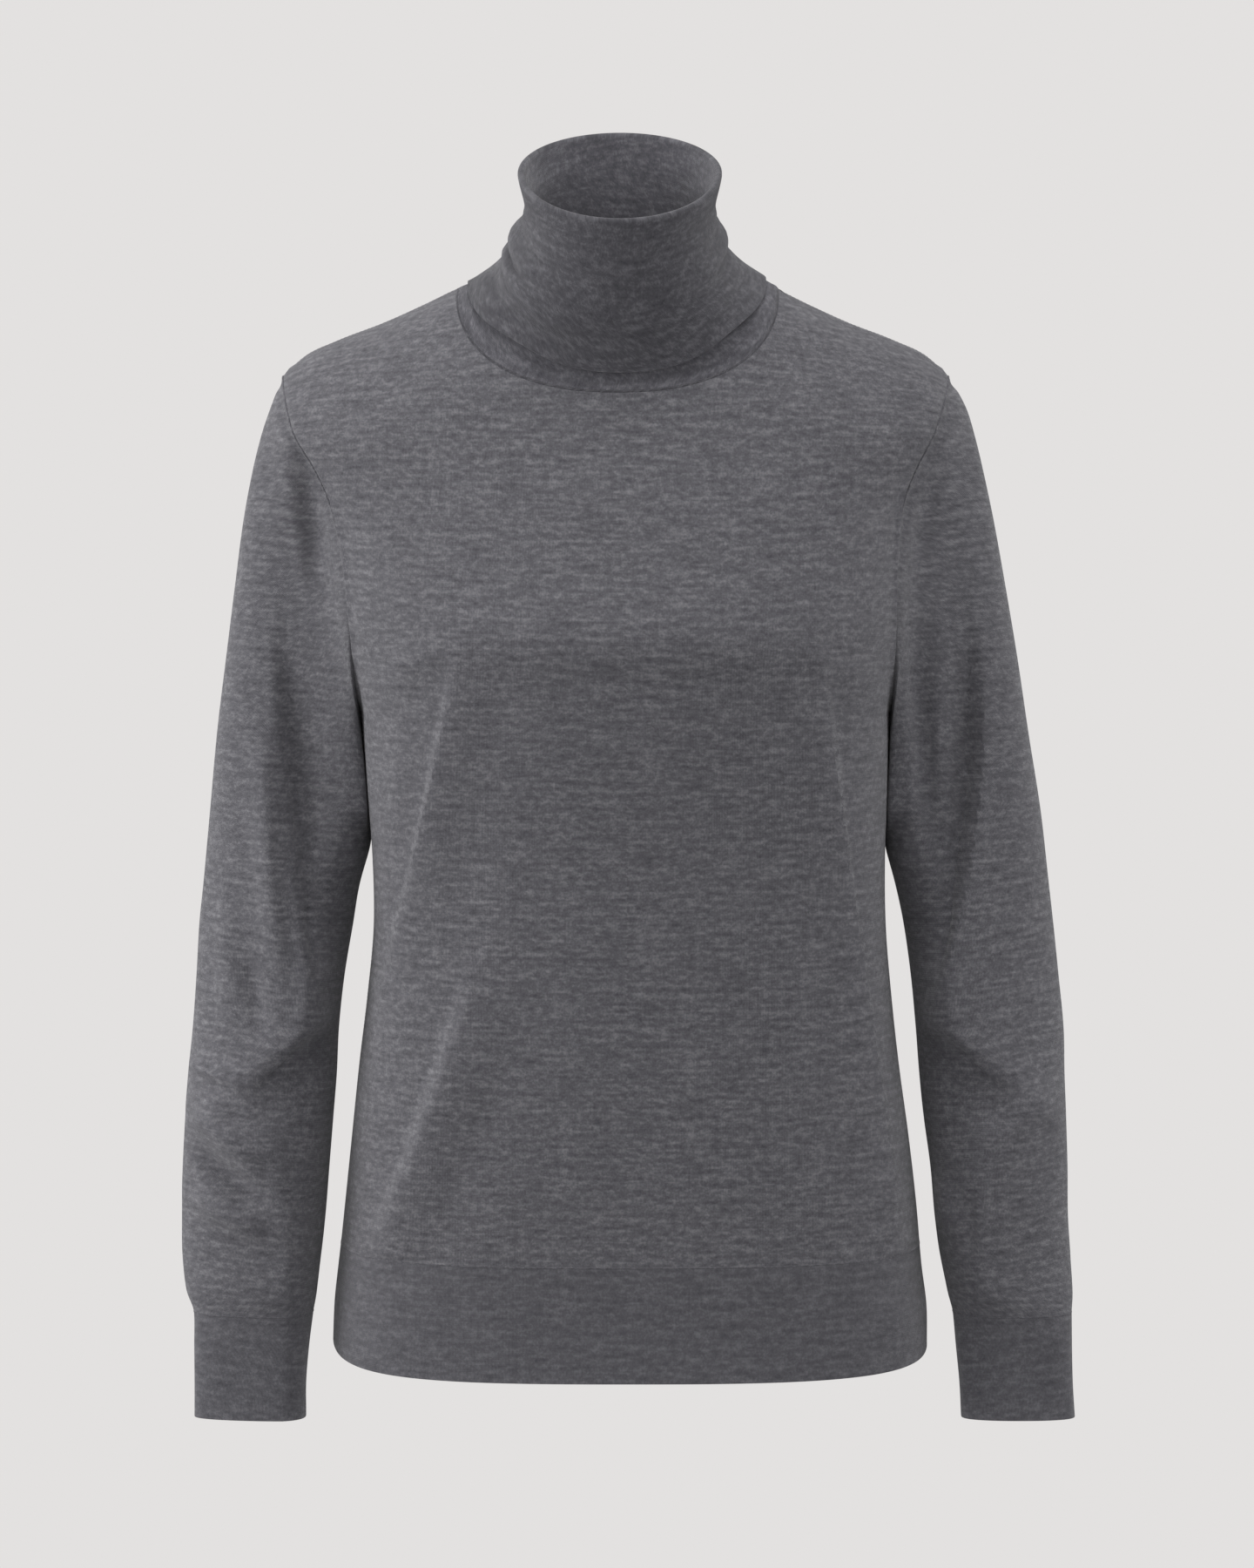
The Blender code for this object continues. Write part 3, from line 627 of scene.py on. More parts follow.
@dataclass
class WornForm:
    """The hollow worn shape that the body, the sleeve heads and the collar's foot follow."""

    hem_top: float = -562 * MM
    underarm: float = -250 * MM
    shoulder_tip: float = -54.5 * MM
    shoulder_round: float = 75 * MM
    armhole_flare: float = 0.45     # how far in from the outline the armhole's edge starts
    armhole_sweep: float = 90 * MM  # the height over which it gets there
    side_depth: float = 0.15 * MM   # half the gap between front and back along the side seams
    neck_centre: float = -5.5 * MM
    neck_half_width: float = 93.5 * MM
    neck_side: float = -4.5 * MM
    neck_front_drop: float = 59.3 * MM
    neck_back_drop: float = 5.5 * MM
    neck_square: float = 2.3
    neck_crowding: float = 0.75     # 0 spaces the neck's points evenly, 1 crowds them at its sides

    def __post_init__(self) -> None:
        """Read the tables of sections."""
        self.body = Profile(BODY, "z")
        self.ridge = Profile(SHOULDER, "reach")

    def size(self, column: str, z: Points | float) -> Points:
        """A width or depth of the body at a height."""
        return self.body.read(column, np.asarray(z) / MM) * MM

    def square(self, z: Points) -> Points:
        """How square the body's section is at a height."""
        return self.body.read("square", np.asarray(z) / MM)

    def half_width(self, is_right: Points, z: Points) -> Points:
        """The body's half-width at a height, on the right or the left."""
        return np.where(is_right, self.size("right", z), self.size("left", z))

    def shoulder_height(self, x: Points) -> Points:
        """Work out the height of the shoulder seam.

        Args:
            x: Places across the body.

        Returns:
            Its height there.
        """
        right = self.size("right", self.shoulder_tip) + self.neck_centre
        left = self.size("left", self.shoulder_tip) - self.neck_centre
        offset = x - self.neck_centre
        reach = np.where(offset < 0.0, -offset / right, offset / left)
        return self.ridge.read("z", clamp(reach)) * MM

    def rounding(self, x: Points, z: Points) -> Points:
        """Share of the full depth that is left where the body rounds over into the shoulder."""
        drop = clamp((self.shoulder_height(x) - z) / self.shoulder_round)
        return np.sqrt(1.0 - (1.0 - drop) ** 2)

    def depth(self, side: Side, x: Points, z: Points) -> Points:
        """Work out how far the body stands forward or back.

        Args:
            side: The front or the back.
            x: Places across the body.
            z: Their heights.

        Returns:
            The distance from the middle, above 0 on both sides.
        """
        square = self.square(z)
        rise = clamp((z - self.underarm) / self.armhole_sweep)
        opening = self.armhole_flare * np.sqrt(1.0 - (1.0 - rise) ** 2)
        across = clamp(np.abs(x) / (self.half_width(x < 0.0, z) / arch(opening, square)))
        return self.size(side.word, z) * arch(across, square) * self.rounding(x, z)

    def surface(self, x: Points, z: Points, is_front: Points) -> Points:
        """Points on the body seen from the front, on its front side or its back."""
        y = np.where(is_front, -self.depth(Side.FRONT, x, z), self.depth(Side.BACK, x, z))
        return grid_of(x, y, z)

    def armhole(self, arm: Arm, angle: Points) -> Points:
        """Work out the armhole's edge.

        Args:
            arm: The arm.
            angle: 0 at the shoulder's tip, a quarter turn in front, half a turn at the underarm.

        Returns:
            Points on the edge.
        """
        drop = self.shoulder_tip - self.underarm
        z = self.underarm + drop * (1.0 + np.cos(angle)) / 2.0
        return self.surface(self.size(arm.word, z) * arm.value, z, np.sin(angle) >= 0.0)

    def half_neck(self, steps: int) -> Points:
        """Space angles across half the neck, closer together near its sides.

        Args:
            steps: How many steps there are.

        Returns:
            The angles, from a quarter turn on the right to a quarter turn on the left.
        """
        even = np.linspace(-1.0, 1.0, steps + 1)
        crowded = self.neck_crowding * np.sin(even * math.pi / 2.0)
        return ((1.0 - self.neck_crowding) * even + crowded) * math.pi / 2.0

    def neck_seam(self, angle: Points) -> Points:
        """Work out the neck seam.

        Args:
            angle: 0 in the middle of the front, above 0 towards the wearer's left.

        Returns:
            Points on the seam.
        """
        power = 2.0 / self.neck_square
        x = self.neck_centre + self.neck_half_width * signed_power(np.sin(angle), power)
        is_front = np.cos(angle) >= 0.0
        drop = np.where(is_front, self.neck_front_drop, self.neck_back_drop)
        return self.surface(x, self.neck_side - drop * np.abs(np.cos(angle)) ** power, is_front)

    def torso(self, side: Side, heights: Points, columns: int) -> Points:
        """Work out level rows round one side of the body.

        Args:
            side: The front or the back.
            heights: Each row's height.
            columns: Steps from the right side seam to the left.

        Returns:
            Rows and columns of points.
        """
        angle = np.linspace(-0.5, 0.5, columns + 1) * math.pi
        z = heights[:, None]
        square = self.square(z)
        x = self.half_width(angle < 0.0, z) * signed_power(np.sin(angle), 2.0 / square)
        depth = self.size(side.word, z) * np.abs(np.cos(angle)) ** (2.0 / square)
        return grid_of(x, side.value * np.maximum(depth, self.side_depth), z)


class Grain(NamedTuple):
    """A layer of grain in the yarn: its size against a fleck's, and its octaves of finer noise."""

    length: float
    height: float
    detail: float


FLECKS = Grain(1.0, 1.0, 2.0)
FIBRES = Grain(0.25, 0.5, 1.0)
BANDS = Grain(5.0, 1.2, 1.0)


@dataclass(frozen=True)
class MelangeKnit:
    """Fine plain knit in worsted wool whose yarn is spun from dark and pale fibres.

    The fibres give short level flecks along the courses, and their loose ends a soft matt sheen.
    """

    name: str
    slot: Slot
    dark: str = "#4d4c51"
    middle: str = "#656469"
    pale: str = "#858488"
    dark_at: float = 0.28
    pale_at: float = 0.72
    # Real flecks are a stitch high, under 1 mm, and too fine to show: these are drawn about three
    # times as coarse. Stitches are drawn coarser than real ones too, and show as a grain.
    fleck_length: float = 4.8 * MM
    fleck_height: float = 2.9 * MM
    fleck_roughness: float = 0.6
    fibre_share: float = 0.35
    band_share: float = 0.3
    wale_width: float = 1.5 * MM
    course_height: float = 1.1 * MM
    loop_dip: float = 0.25
    relief: float = 0.16 * MM
    roughness: float = 0.92
    ior: float = 1.45
    specular: float = 0.2
    fuzz: float = 0.25
    fuzz_roughness: float = 0.45
    # Painted light: up to this height the colour is multiplied by the gain, lightening the collar's
    # foot in the shade of its free edge.
    foot_height: float = 0.0
    foot_fade: float = 1.2
    foot_gain: float = 1.35

    def build(self) -> bpy.types.Material:
        """Make the material: flecked colour, stitches as relief, and fuzz as sheen.

        Returns:
            The material.
        """
        material = bpy.data.materials.new(self.name)
        material.use_nodes = True
        tree = material.node_tree
        shader = tree.nodes["Principled BSDF"]
        knit = add_node(tree, "ShaderNodeUVMap", {}, uv_map="knit").outputs["UV"]
        colour = self._colour(tree, knit)
        if self.foot_height:
            colour = self._lighter_foot(tree, knit, colour)
        bump = add_node(tree, "ShaderNodeBump", {"Strength": 1.0, "Distance": self.relief,
                                                 "Height": self._stitches(tree, knit)})
        tree.links.new(colour, shader.inputs["Base Color"])
        tree.links.new(bump.outputs["Normal"], shader.inputs["Normal"])
        for socket, value in (("Roughness", self.roughness), ("Metallic", 0.0), ("IOR", self.ior),
                              ("Specular IOR Level", self.specular), ("Sheen Weight", self.fuzz),
                              ("Sheen Roughness", self.fuzz_roughness)):
            shader.inputs[socket].default_value = value
        return material

    def _noise(self, tree: Tree, knit: Socket, grain: Grain) -> Socket:
        """Add noise drawn out along the courses.

        Args:
            tree: The material's node tree.
            knit: The knit's UV map, in metres.
            grain: The layer of grain.

        Returns:
            The noise, about 0.5 on average.
        """
        scale = (1 / (self.fleck_length * grain.length), 1 / (self.fleck_height * grain.height), 1)
        placed = add_node(tree, "ShaderNodeMapping", {"Vector": knit, "Scale": scale})
        noise = add_node(tree, "ShaderNodeTexNoise",
                         {"Vector": placed.outputs["Vector"], "Scale": 1.0, "Detail": grain.detail,
                          "Roughness": self.fleck_roughness}, noise_dimensions="2D")
        return noise.outputs["Fac"]

    def _colour(self, tree: Tree, knit: Socket) -> Socket:
        """Add the yarn's colour: flecks, finer fibres and faint bands.

        Args:
            tree: The material's node tree.
            knit: The knit's UV map, in metres.

        Returns:
            The colour, from dark to pale.
        """
        flecks, fibres, bands = (self._noise(tree, knit, grain)
                                 for grain in (FLECKS, FIBRES, BANDS))
        fine = add_node(tree, "ShaderNodeMix", {0: self.fibre_share, 2: flecks, 3: fibres},
                        data_type="FLOAT")
        mixed = add_node(tree, "ShaderNodeMix", {0: self.band_share, 2: fine.outputs[0], 3: bands},
                         data_type="FLOAT")
        ramp = add_node(tree, "ShaderNodeValToRGB", {"Fac": mixed.outputs[0]})
        stops = ramp.color_ramp.elements
        stops[0].position, stops[0].color = self.dark_at, linear(self.dark)
        stops[1].position, stops[1].color = self.pale_at, linear(self.pale)
        stops.new((self.dark_at + self.pale_at) / 2.0).color = linear(self.middle)
        return ramp.outputs["Color"]

    def _lighter_foot(self, tree: Tree, knit: Socket, colour: Socket) -> Socket:
        """Lighten the colour up to the foot's height: partly the looser single layer there, partly
        painted light over the shade that the outer layer's free edge casts on it.

        Args:
            tree: The material's node tree.
            knit: The knit's UV map, in metres.
            colour: The yarn's colour.

        Returns:
            The colour with its foot painted lighter.
        """
        split = add_node(tree, "ShaderNodeSeparateXYZ", {"Vector": knit})
        gain = add_node(tree, "ShaderNodeMapRange",
                        {"Value": split.outputs["Y"], "From Min": self.foot_height,
                         "From Max": self.foot_fade * self.foot_height,
                         "To Min": self.foot_gain, "To Max": 1.0})
        scaled = add_node(tree, "ShaderNodeVectorMath", {0: colour, "Scale": gain.outputs[0]},
                          operation="SCALE")
        return scaled.outputs["Vector"]

    def _stitches(self, tree: Tree, knit: Socket) -> Socket:
        """Add plain stitches: columns of small Vs, whose two legs rise away from the middle.

        Args:
            tree: The material's node tree.
            knit: The knit's UV map, in metres.

        Returns:
            Their height, from 0 to 1.
        """

        def step(operation: str, *values: Any) -> Socket:
            """One step of arithmetic."""
            return add_node(tree, "ShaderNodeMath", dict(enumerate(values)),
                            operation=operation).outputs[0]

        split = add_node(tree, "ShaderNodeSeparateXYZ", {"Vector": knit})
        wale = step("FRACT", step("DIVIDE", split.outputs["X"], self.wale_width))
        spread = step("ABSOLUTE", step("MULTIPLY_ADD", wale, 2.0, -1.0))
        course = step("DIVIDE", split.outputs["Y"], self.course_height)
        turn = step("MULTIPLY", step("MULTIPLY_ADD", spread, -0.5, course), TURN)
        loop = step("MULTIPLY_ADD", step("COSINE", turn), self.loop_dip, 1.0 - self.loop_dip)
        return step("MULTIPLY", loop, step("SINE", step("MULTIPLY", spread, math.pi)))


# Body and sleeves are knitted loosest, so that light gets in and they look palest. Hem and cuffs
# have closer stitches and look denser and a little darker. The collar's darker colours are partly
# its closest knit in two layers and partly painted shade on its front, which faces a little down
# and away from the lamps. Its foot is lighter partly as a looser single layer and partly as painted
# light over the shade under the outer layer's free edge.
PLAIN_KNIT = MelangeKnit("worsted_melange_plain_knit", Slot.FINE)
BAND_KNIT = MelangeKnit("worsted_melange_band_knit", Slot.BAND, dark="#4e4d52", middle="#605f64",
                        pale="#77767b", course_height=0.95 * MM, wale_width=1.35 * MM,
                        fleck_height=3.3 * MM)
# Painted shade: the collar's colours are darker than the hem's, partly for the shade on its front.
# Its foot is painted lighter again.
COLLAR_KNIT = MelangeKnit("worsted_melange_collar_knit", Slot.BAND, dark="#403f44",
                          middle="#535257", pale="#6f6e73", course_height=0.95 * MM,
                          wale_width=1.35 * MM, foot_height=15 * MM, fleck_length=3.9 * MM,
                          fleck_height=3.4 * MM)


@dataclass
class LinkedSeam:
    """A seam that links two knitted edges: a chain of yarn that lies in the gap between them."""

    name: str
    path: Points
    outward: Points
    radius: float = 0.62 * MM
    sunk: float = 0.45 * MM
    stitch: float = 2.4 * MM
    strands: int = 2
    ripple: float = 0.16
    step: float = 0.8 * MM
    fewest_steps: int = 8
    around: int = 8

    @classmethod
    def ring(cls, name: str, path: Points, **sizes: float) -> LinkedSeam:
        """A seam round a closed edge, which faces away from the edge's middle."""
        return cls(name, path, path - path[:-1].mean(axis=0), **sizes)

    def build(self, finish: bpy.types.Material) -> bpy.types.Object:
        """Make the seam.

        Args:
            finish: The yarn's material.

        Returns:
            The seam.
        """
        length = run_length(self.path[None], axis=1)[0]
        steps = max(self.fewest_steps, round(length[-1] / self.step))
        along = np.linspace(0.0, length[-1], steps)
        centre = resample(along, length, self.path)
        outward = unit(resample(along, length, self.outward))
        closed = bool(np.linalg.norm(centre[0] - centre[-1]) < MERGE)
        heading = wrapped_slope(centre[None])[0] if closed else np.gradient(centre, axis=0)
        sideways = unit(np.cross(heading, outward))
        turn = np.linspace(0.0, TURN, self.around + 1)[None, :, None]
        laps = round(length[-1] / self.stitch)
        twist = self.strands * turn + TURN * laps * (along / length[-1])[:, None, None]
        radius = self.radius * (1.0 + self.ripple * np.cos(twist))
        round_it = np.cos(turn) * sideways[:, None] + np.sin(turn) * outward[:, None]
        grid = (centre - self.sunk * outward)[:, None] + radius * round_it
        knit = np.stack([run_length(grid, axis=1), run_length(grid, axis=0)], axis=-1)
        mesh = cloth_mesh(self.name, grid, knit, closed=True)
        if not closed:
            self._close_ends(mesh)
        mesh.materials.append(finish)
        seam = add_object(self.name, mesh)
        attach(seam, "root")
        LOG.info("%s: %d stitches", self.name, laps)
        return seam

    def _close_ends(self, mesh: bpy.types.Mesh) -> None:
        """Close the tube's two ends.

        Args:
            mesh: The tube.
        """
        tube = bmesh.new()
        tube.from_mesh(mesh)
        bmesh.ops.holes_fill(tube, edges=[edge for edge in tube.edges if edge.is_boundary])
        tube.to_mesh(mesh)
        tube.free()


@dataclass
class GarmentPiece:
    """A piece of cloth on a grid of points. Each kind of piece works out its own points."""

    name: str
    form: WornForm
    cut: FlatCut
    knit: MelangeKnit
    wall: float = 1.4 * MM
    seam_gap: float = 0.35 * MM
    edge_round: float = 0.32
    edge_segments: int = 2
    edge_angle: float = 50.0
    closed: ClassVar[bool] = False

    def points(self) -> Points:
        """The rows and columns of points of the sheet's outer face."""
        raise NotImplementedError

    def seams(self) -> list[LinkedSeam]:
        """The seams that are sewn to it."""
        return []

    def knit_map(self, grid: Points) -> Points:
        """Lay the knit over the sheet.

        Args:
            grid: The sheet's points.

        Returns:
            Where each lies on the knit, in metres: across the wales, then up the courses.
        """
        across = run_length(grid, axis=1)
        up = run_length(grid, axis=0).mean(axis=1, keepdims=True)
        return np.stack(np.broadcast_arrays(across - across[:, -1:] / 2.0, up), axis=-1)

    def build(self, finish: bpy.types.Material) -> bpy.types.Object:
        """Make the piece and its seams, dress them and set them in place of its solid.

        Args:
            finish: The knit's material.

        Returns:
            The finished piece.
        """
        seams = [seam.build(finish) for seam in self.seams()]
        grid = self.points()
        mesh = cloth_mesh(self.name, grid, self.knit_map(grid), self.closed)
        mesh.materials.append(finish)
        piece = add_object(f"{self.name}_cloth", mesh)
        wall = piece.modifiers.new("wall", "SOLIDIFY")
        wall.thickness = self.wall
        wall.offset = -1.0          # inwards from the outer face
        edge = piece.modifiers.new("edge", "BEVEL")
        edge.width = self.wall * self.edge_round
        edge.segments = self.edge_segments
        edge.limit_method = "ANGLE"
        edge.angle_limit = math.radians(self.edge_angle)
        edge.harden_normals = True
        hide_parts(self.name)
        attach(piece, "root")
        LOG.info("%s: %d rows of %d points", self.name, grid.shape[0], grid.shape[1])
        return piece


@dataclass
class BodyPanel(GarmentPiece):
    """The front or the back, from its hem band up to the shoulders and the neck."""

    side: Side = Side.FRONT
    creases: Sequence[Crease] = ()
    ridge_gap: float = 0.9 * MM
    column_sweep: float = 4.0       # how late the columns lean over towards the neck
    shoulder_steps: int = 26
    neck_steps: int = 150
    yoke_steps: int = 72
    torso_steps: int = 110
    over_shoulder: float = 0.52
    seam_ridge: float = 1.6 * MM
    seam_ridge_width: float = 10 * MM
    side_seam_foot: float = -618 * MM
    side_seam_steps: int = 60
    shoulder_seam_start: float = 1.5 * MM
    shoulder_seam_steps: int = 40

    def points(self) -> Points:
        """Work out the panel, with its creases, and a small ridge along the armhole's seam.

        Returns:
            Rows and columns of points.
        """
        form = self.form
        columns = 2 * self.shoulder_steps + self.neck_steps
        heights = np.linspace(form.hem_top + self.seam_gap / 2.0, form.underarm,
                              self.torso_steps + 1)
        grid = np.concatenate([form.torso(self.side, heights, columns), self._yoke(columns)])
        normals = surface_normals(grid, closed=False)
        lift = sum(crease.lift(grid, normals) for crease in self.creases)
        across = run_length(grid, axis=1)
        edge = clamp(np.minimum(across, across[:, -1:] - across) / self.seam_ridge_width)
        above = clamp((grid[:, :1, 2] - form.underarm) / self.seam_ridge_width)
        lift += self.seam_ridge * above * swell(edge, 0.5)
        lift[(0, -1), :] = 0.0
        lift[:, (0, -1)] = 0.0
        return grid + lift[..., None] * normals

    def knit_map(self, grid: Points) -> Points:
        """Lay level courses that follow the cloth over the shoulder, and wales from the middle.

        Args:
            grid: The panel's points.

        Returns:
            Where each lies on the knit, in metres.
        """
        across = run_length(grid[..., :2], axis=1)
        middle = across[:, across.shape[1] // 2][:, None]
        x, z = grid[..., 0], grid[..., 2]
        over = self.form.size(self.side.word, z) * (1.0 - self.form.rounding(x, z))
        return np.stack([across - middle, z + self.over_shoulder * over], axis=-1)

    def seams(self) -> list[LinkedSeam]:
        """List the seams: the back carries the side and shoulder seams.

        Returns:
            The seams, none for the front.
        """
        form = self.form
        sewn: list[LinkedSeam] = []
        for arm in Arm if self.side is Side.BACK else ():
            z = np.linspace(form.underarm, self.side_seam_foot, self.side_seam_steps)
            side = grid_of(form.size(arm.word, z) * arm.value, 0.0, z)
            neck = form.neck_centre + arm.value * (form.neck_half_width + self.shoulder_seam_start)
            tip = form.size(arm.word, form.shoulder_tip) * arm.value
            x = np.linspace(neck, tip, self.shoulder_seam_steps)
            top = grid_of(x, 0.0, form.shoulder_height(x))
            sewn += [LinkedSeam(f"side_seam_{arm.word}", side, 0.0 * side + (arm.value, 0.0, 0.0)),
                     LinkedSeam(f"shoulder_seam_{arm.word}", top, 0.0 * top + (0.0, 0.0, 1.0))]
        return sewn

    def _top(self) -> Points:
        """Work out the top edge: shoulder, neck, shoulder.

        Returns:
            Its points as seen from the front.
        """
        form = self.form
        angle = form.half_neck(self.neck_steps)
        neck = form.neck_seam(angle if self.side is Side.FRONT else math.pi - angle)
        tips = (-form.size("right", form.shoulder_tip), form.size("left", form.shoulder_tip))
        right, left = (np.linspace(tip, end, self.shoulder_steps, endpoint=False)
                       for tip, end in zip(tips, neck[(0, -1), 0]))
        left = left[::-1]
        x = np.concatenate([right, neck[:, 0], left])
        z = np.concatenate([form.shoulder_height(right), neck[:, 2], form.shoulder_height(left)])
        return np.stack([x, z], axis=-1)

    def _yoke(self, columns: int) -> Points:
        """Fill in between the underarm's level, the top edge and both armholes.

        Args:
            columns: Steps across the panel.

        Returns:
            Rows and columns of points.
        """
        form = self.form
        base = form.torso(self.side, np.array([form.underarm]), columns)[0][:, (0, 2)]
        top = self._top()
        share = np.linspace(0.0, 1.0, len(top))[None, :, None]
        climb = np.linspace(0.0, 1.0, self.yoke_steps + 1)[1:]
        rise = (1.0 - np.cos(climb * math.pi)) / 2.0
        z = form.underarm + (form.shoulder_tip - form.underarm) * rise
        right = np.stack([-form.size("right", z), z], axis=-1)[:, None]
        left = np.stack([form.size("left", z), z], axis=-1)[:, None]
        rise = np.stack([rise ** self.column_sweep, rise], axis=-1)[:, None]
        corners = ((1 - rise) * ((1 - share) * base[0] + share * base[-1])
                   + rise * ((1 - share) * top[0] + share * top[-1]))
        flat = (1 - rise) * base + rise * top + (1 - share) * right + share * left - corners
        x, z = flat[..., 0], flat[..., 1]
        depth = np.maximum(form.depth(self.side, x, z), self.ridge_gap / 2.0)
        return grid_of(x, self.side.value * depth, z)


@dataclass
class HemBand(GarmentPiece):
    """The band under one panel, whose foot rises a little towards the side seams."""

    side: Side = Side.FRONT
    foot: float = -629 * MM
    rise_right: float = 12 * MM
    rise_left: float = 7.5 * MM
    rise_power: int = 4
    columns: int = 202
    rows: int = 26

    def points(self) -> Points:
        """Work out the band.

        Returns:
            Rows and columns of points.
        """
        top = self.form.hem_top - self.seam_gap / 2.0
        grid = self.form.torso(self.side, np.linspace(self.foot, top, self.rows + 1), self.columns)
        across = np.linspace(-1.0, 1.0, self.columns + 1)
        side_rise = np.where(across < 0.0, self.rise_right, self.rise_left)
        side_rise = side_rise * across ** self.rise_power
        grid[..., 2] += np.linspace(1.0, 0.0, self.rows + 1)[:, None] * side_rise
        return grid

    def knit_map(self, grid: Points) -> Points:
        """Courses that run on from the panel's."""
        across = run_length(grid[..., :2], axis=1)
        return np.stack([across - across[:, self.columns // 2][:, None], grid[..., 2]], axis=-1)

    def seams(self) -> list[LinkedSeam]:
        """List the seam between panel and band.

        Returns:
            That one seam.
        """
        level = np.array([self.form.hem_top + self.seam_gap / 2.0])
        path = self.form.torso(self.side, level, self.columns)[0]
        path[:, 2] -= self.seam_gap / 2.0
        return [LinkedSeam(f"hem_seam_{self.side.word}", path, path * (1.0, 1.0, 0.0))]


@dataclass
class Sleeve(GarmentPiece):
    """A set-in sleeve, from the armhole to the cuff.

    Near its head it is pressed against the body: its inner front corner is square there, and the
    sizes named pressed say over which rows of the table, how square, and how far in and forward.
    """

    arm: Arm = Arm.RIGHT
    creases: Sequence[Crease] = ()
    underarm_gap: float = 0.7 * MM
    tip_gap: float = 0.9 * MM
    gap_power: int = 4
    cap_rows: float = 6.0
    cuff_row: int = 19
    spread: float = 2.2
    pressed_from: float = 1.6
    pressed_to: float = 8.0
    pressed_fade: float = 2.0
    pressed_square: float = 40.0
    pressed_in: float = 1.5
    pressed_face: float = 24.0
    brow_tries: int = 12
    brow_limit: float = 0.8
    seam_radius: float = 0.75 * MM
    seam_sunk: float = 0.5 * MM
    seam_steps: int = 480
    seam_dip: float = 1.0 * MM
    seam_dip_width: float = 12 * MM
    seam_dip_foot: float = -205 * MM
    seam_dip_rise: float = 50 * MM
    seam_dip_late: float = 0.8
    blouse: float = 0.8 * MM
    blouse_height: float = 34 * MM
    blouse_late: float = 0.7
    hang: float = 5.0
    around: int = 96
    rows: int = 250
    closed: ClassVar[bool] = True

    def rings(self, rows: Points) -> Points:
        """Work out rings round the arm.

        Args:
            rows: The rows of the sleeve's table at which they lie.

        Returns:
            A row of points for each ring.
        """
        is_right = self.arm is Arm.RIGHT
        table = Profile(SLEEVE_RIGHT if is_right else SLEEVE_LEFT)
        brow = Profile(BROW_RIGHT if is_right else BROW_LEFT, "z")
        angle = np.linspace(0.0, TURN, self.around + 1)
        square, depth, mid_y = (table.read(name, rows)[:, None]
                                for name in ("square", "depth", "mid_y"))
        along = signed_power(np.cos(angle), 2.0 / self.spread)

        def between(axis: str, place: Points) -> Points:
            """A coordinate between the inner edge, at place -1, and the outer edge, at 1."""
            outer, inner = (table.read(edge + axis, rows)[:, None] for edge in ("outer_", "inner_"))
            return ((1 + place) * outer + (1 - place) * inner) / 2.0

        crown = np.zeros((len(rows), 1))
        inner, outer = between("x", crown - 1.0), between("x", crown + 1.0)
        for _ in range(self.brow_tries):
            wanted = 2.0 * brow.read("x", between("z", crown)) - inner - outer
            crown = np.clip(wanted / (outer - inner), -self.brow_limit, self.brow_limit)
        off_crown = np.where(along > crown, (along - crown) / (1.0 - crown),
                             (crown - along) / (1.0 + crown))
        fullness = clamp(1.0 - off_crown ** brow.read("roundness", between("z", crown)))
        fade = (self.pressed_to - rows) / self.pressed_fade
        pressed = clamp(np.minimum(rows / self.pressed_from, fade))[:, None]
        pressed = np.where(along < crown, ease(pressed), 0.0)
        set_back = 1.0 - clamp((mid_y + self.pressed_face) / depth)
        flat = fullness ** (1.0 / self.pressed_square) * (1.0 - set_back * off_crown ** 2)
        front = (1.0 - pressed) * fullness ** (1.0 / square) + pressed * flat
        reach = np.where(np.sin(angle) > 0.0, front, -arch(np.abs(along), square))
        inset = self.pressed_in * pressed * clamp(reach) ** 3 * off_crown ** 4
        x = self.arm.value * MM * (between("x", along) - inset)
        return grid_of(x, MM * (mid_y - depth * reach), MM * between("z", along))

    def points(self) -> Points:
        """Work out the sleeve: its head takes the armhole's own shape, and its creases are raised.

        Returns:
            Rows and columns of points.
        """
        rows = np.linspace(0.0, self.cuff_row, self.rows + 1)
        grid = self.rings(rows)
        angle = np.linspace(0.0, TURN, grid.shape[1])
        height = (1.0 + np.cos(angle)) / 2.0
        low_gap = (self.underarm_gap - self.seam_gap) * (1.0 - height) ** self.gap_power
        high_gap = (self.tip_gap - self.seam_gap) * height ** self.gap_power
        edge = self.form.armhole(self.arm, angle)
        edge[:, 0] += (self.seam_gap + low_gap + high_gap) * self.arm.value
        edge[:, 2] -= high_gap
        fade = ease(clamp(1.0 - rows / self.cap_rows))
        grid += fade[:, None, None] * (edge - grid[0])[None]
        grid[-1, :, 2] += self.seam_gap / 2.0
        normals = surface_normals(grid, closed=True)
        lift = sum(crease.lift(grid, normals) for crease in self.creases)
        down = run_length(grid, axis=0)
        above = clamp((grid[:1, :, 2] - self.seam_dip_foot) / self.seam_dip_rise)
        dip = swell(clamp(down / self.seam_dip_width), self.seam_dip_late)
        puff = swell(clamp((down[-1:] - down) / self.blouse_height), self.blouse_late)
        lift += self.blouse * puff - self.seam_dip * above * dip
        lift[(0, -1), :] = 0.0
        return grid + lift[..., None] * normals

    def knit_map(self, grid: Points) -> Points:
        """Lay courses square to the arm, which hangs a little outwards.

        Args:
            grid: The sleeve's points.

        Returns:
            Where each lies on the knit, in metres.
        """
        around = run_length(grid, axis=1)
        lean = math.radians(self.hang)
        down = grid[..., 2] * math.cos(lean) - np.abs(grid[..., 0]) * math.sin(lean)
        return np.stack([around - around[:, -1:] / 2.0, down], axis=-1)

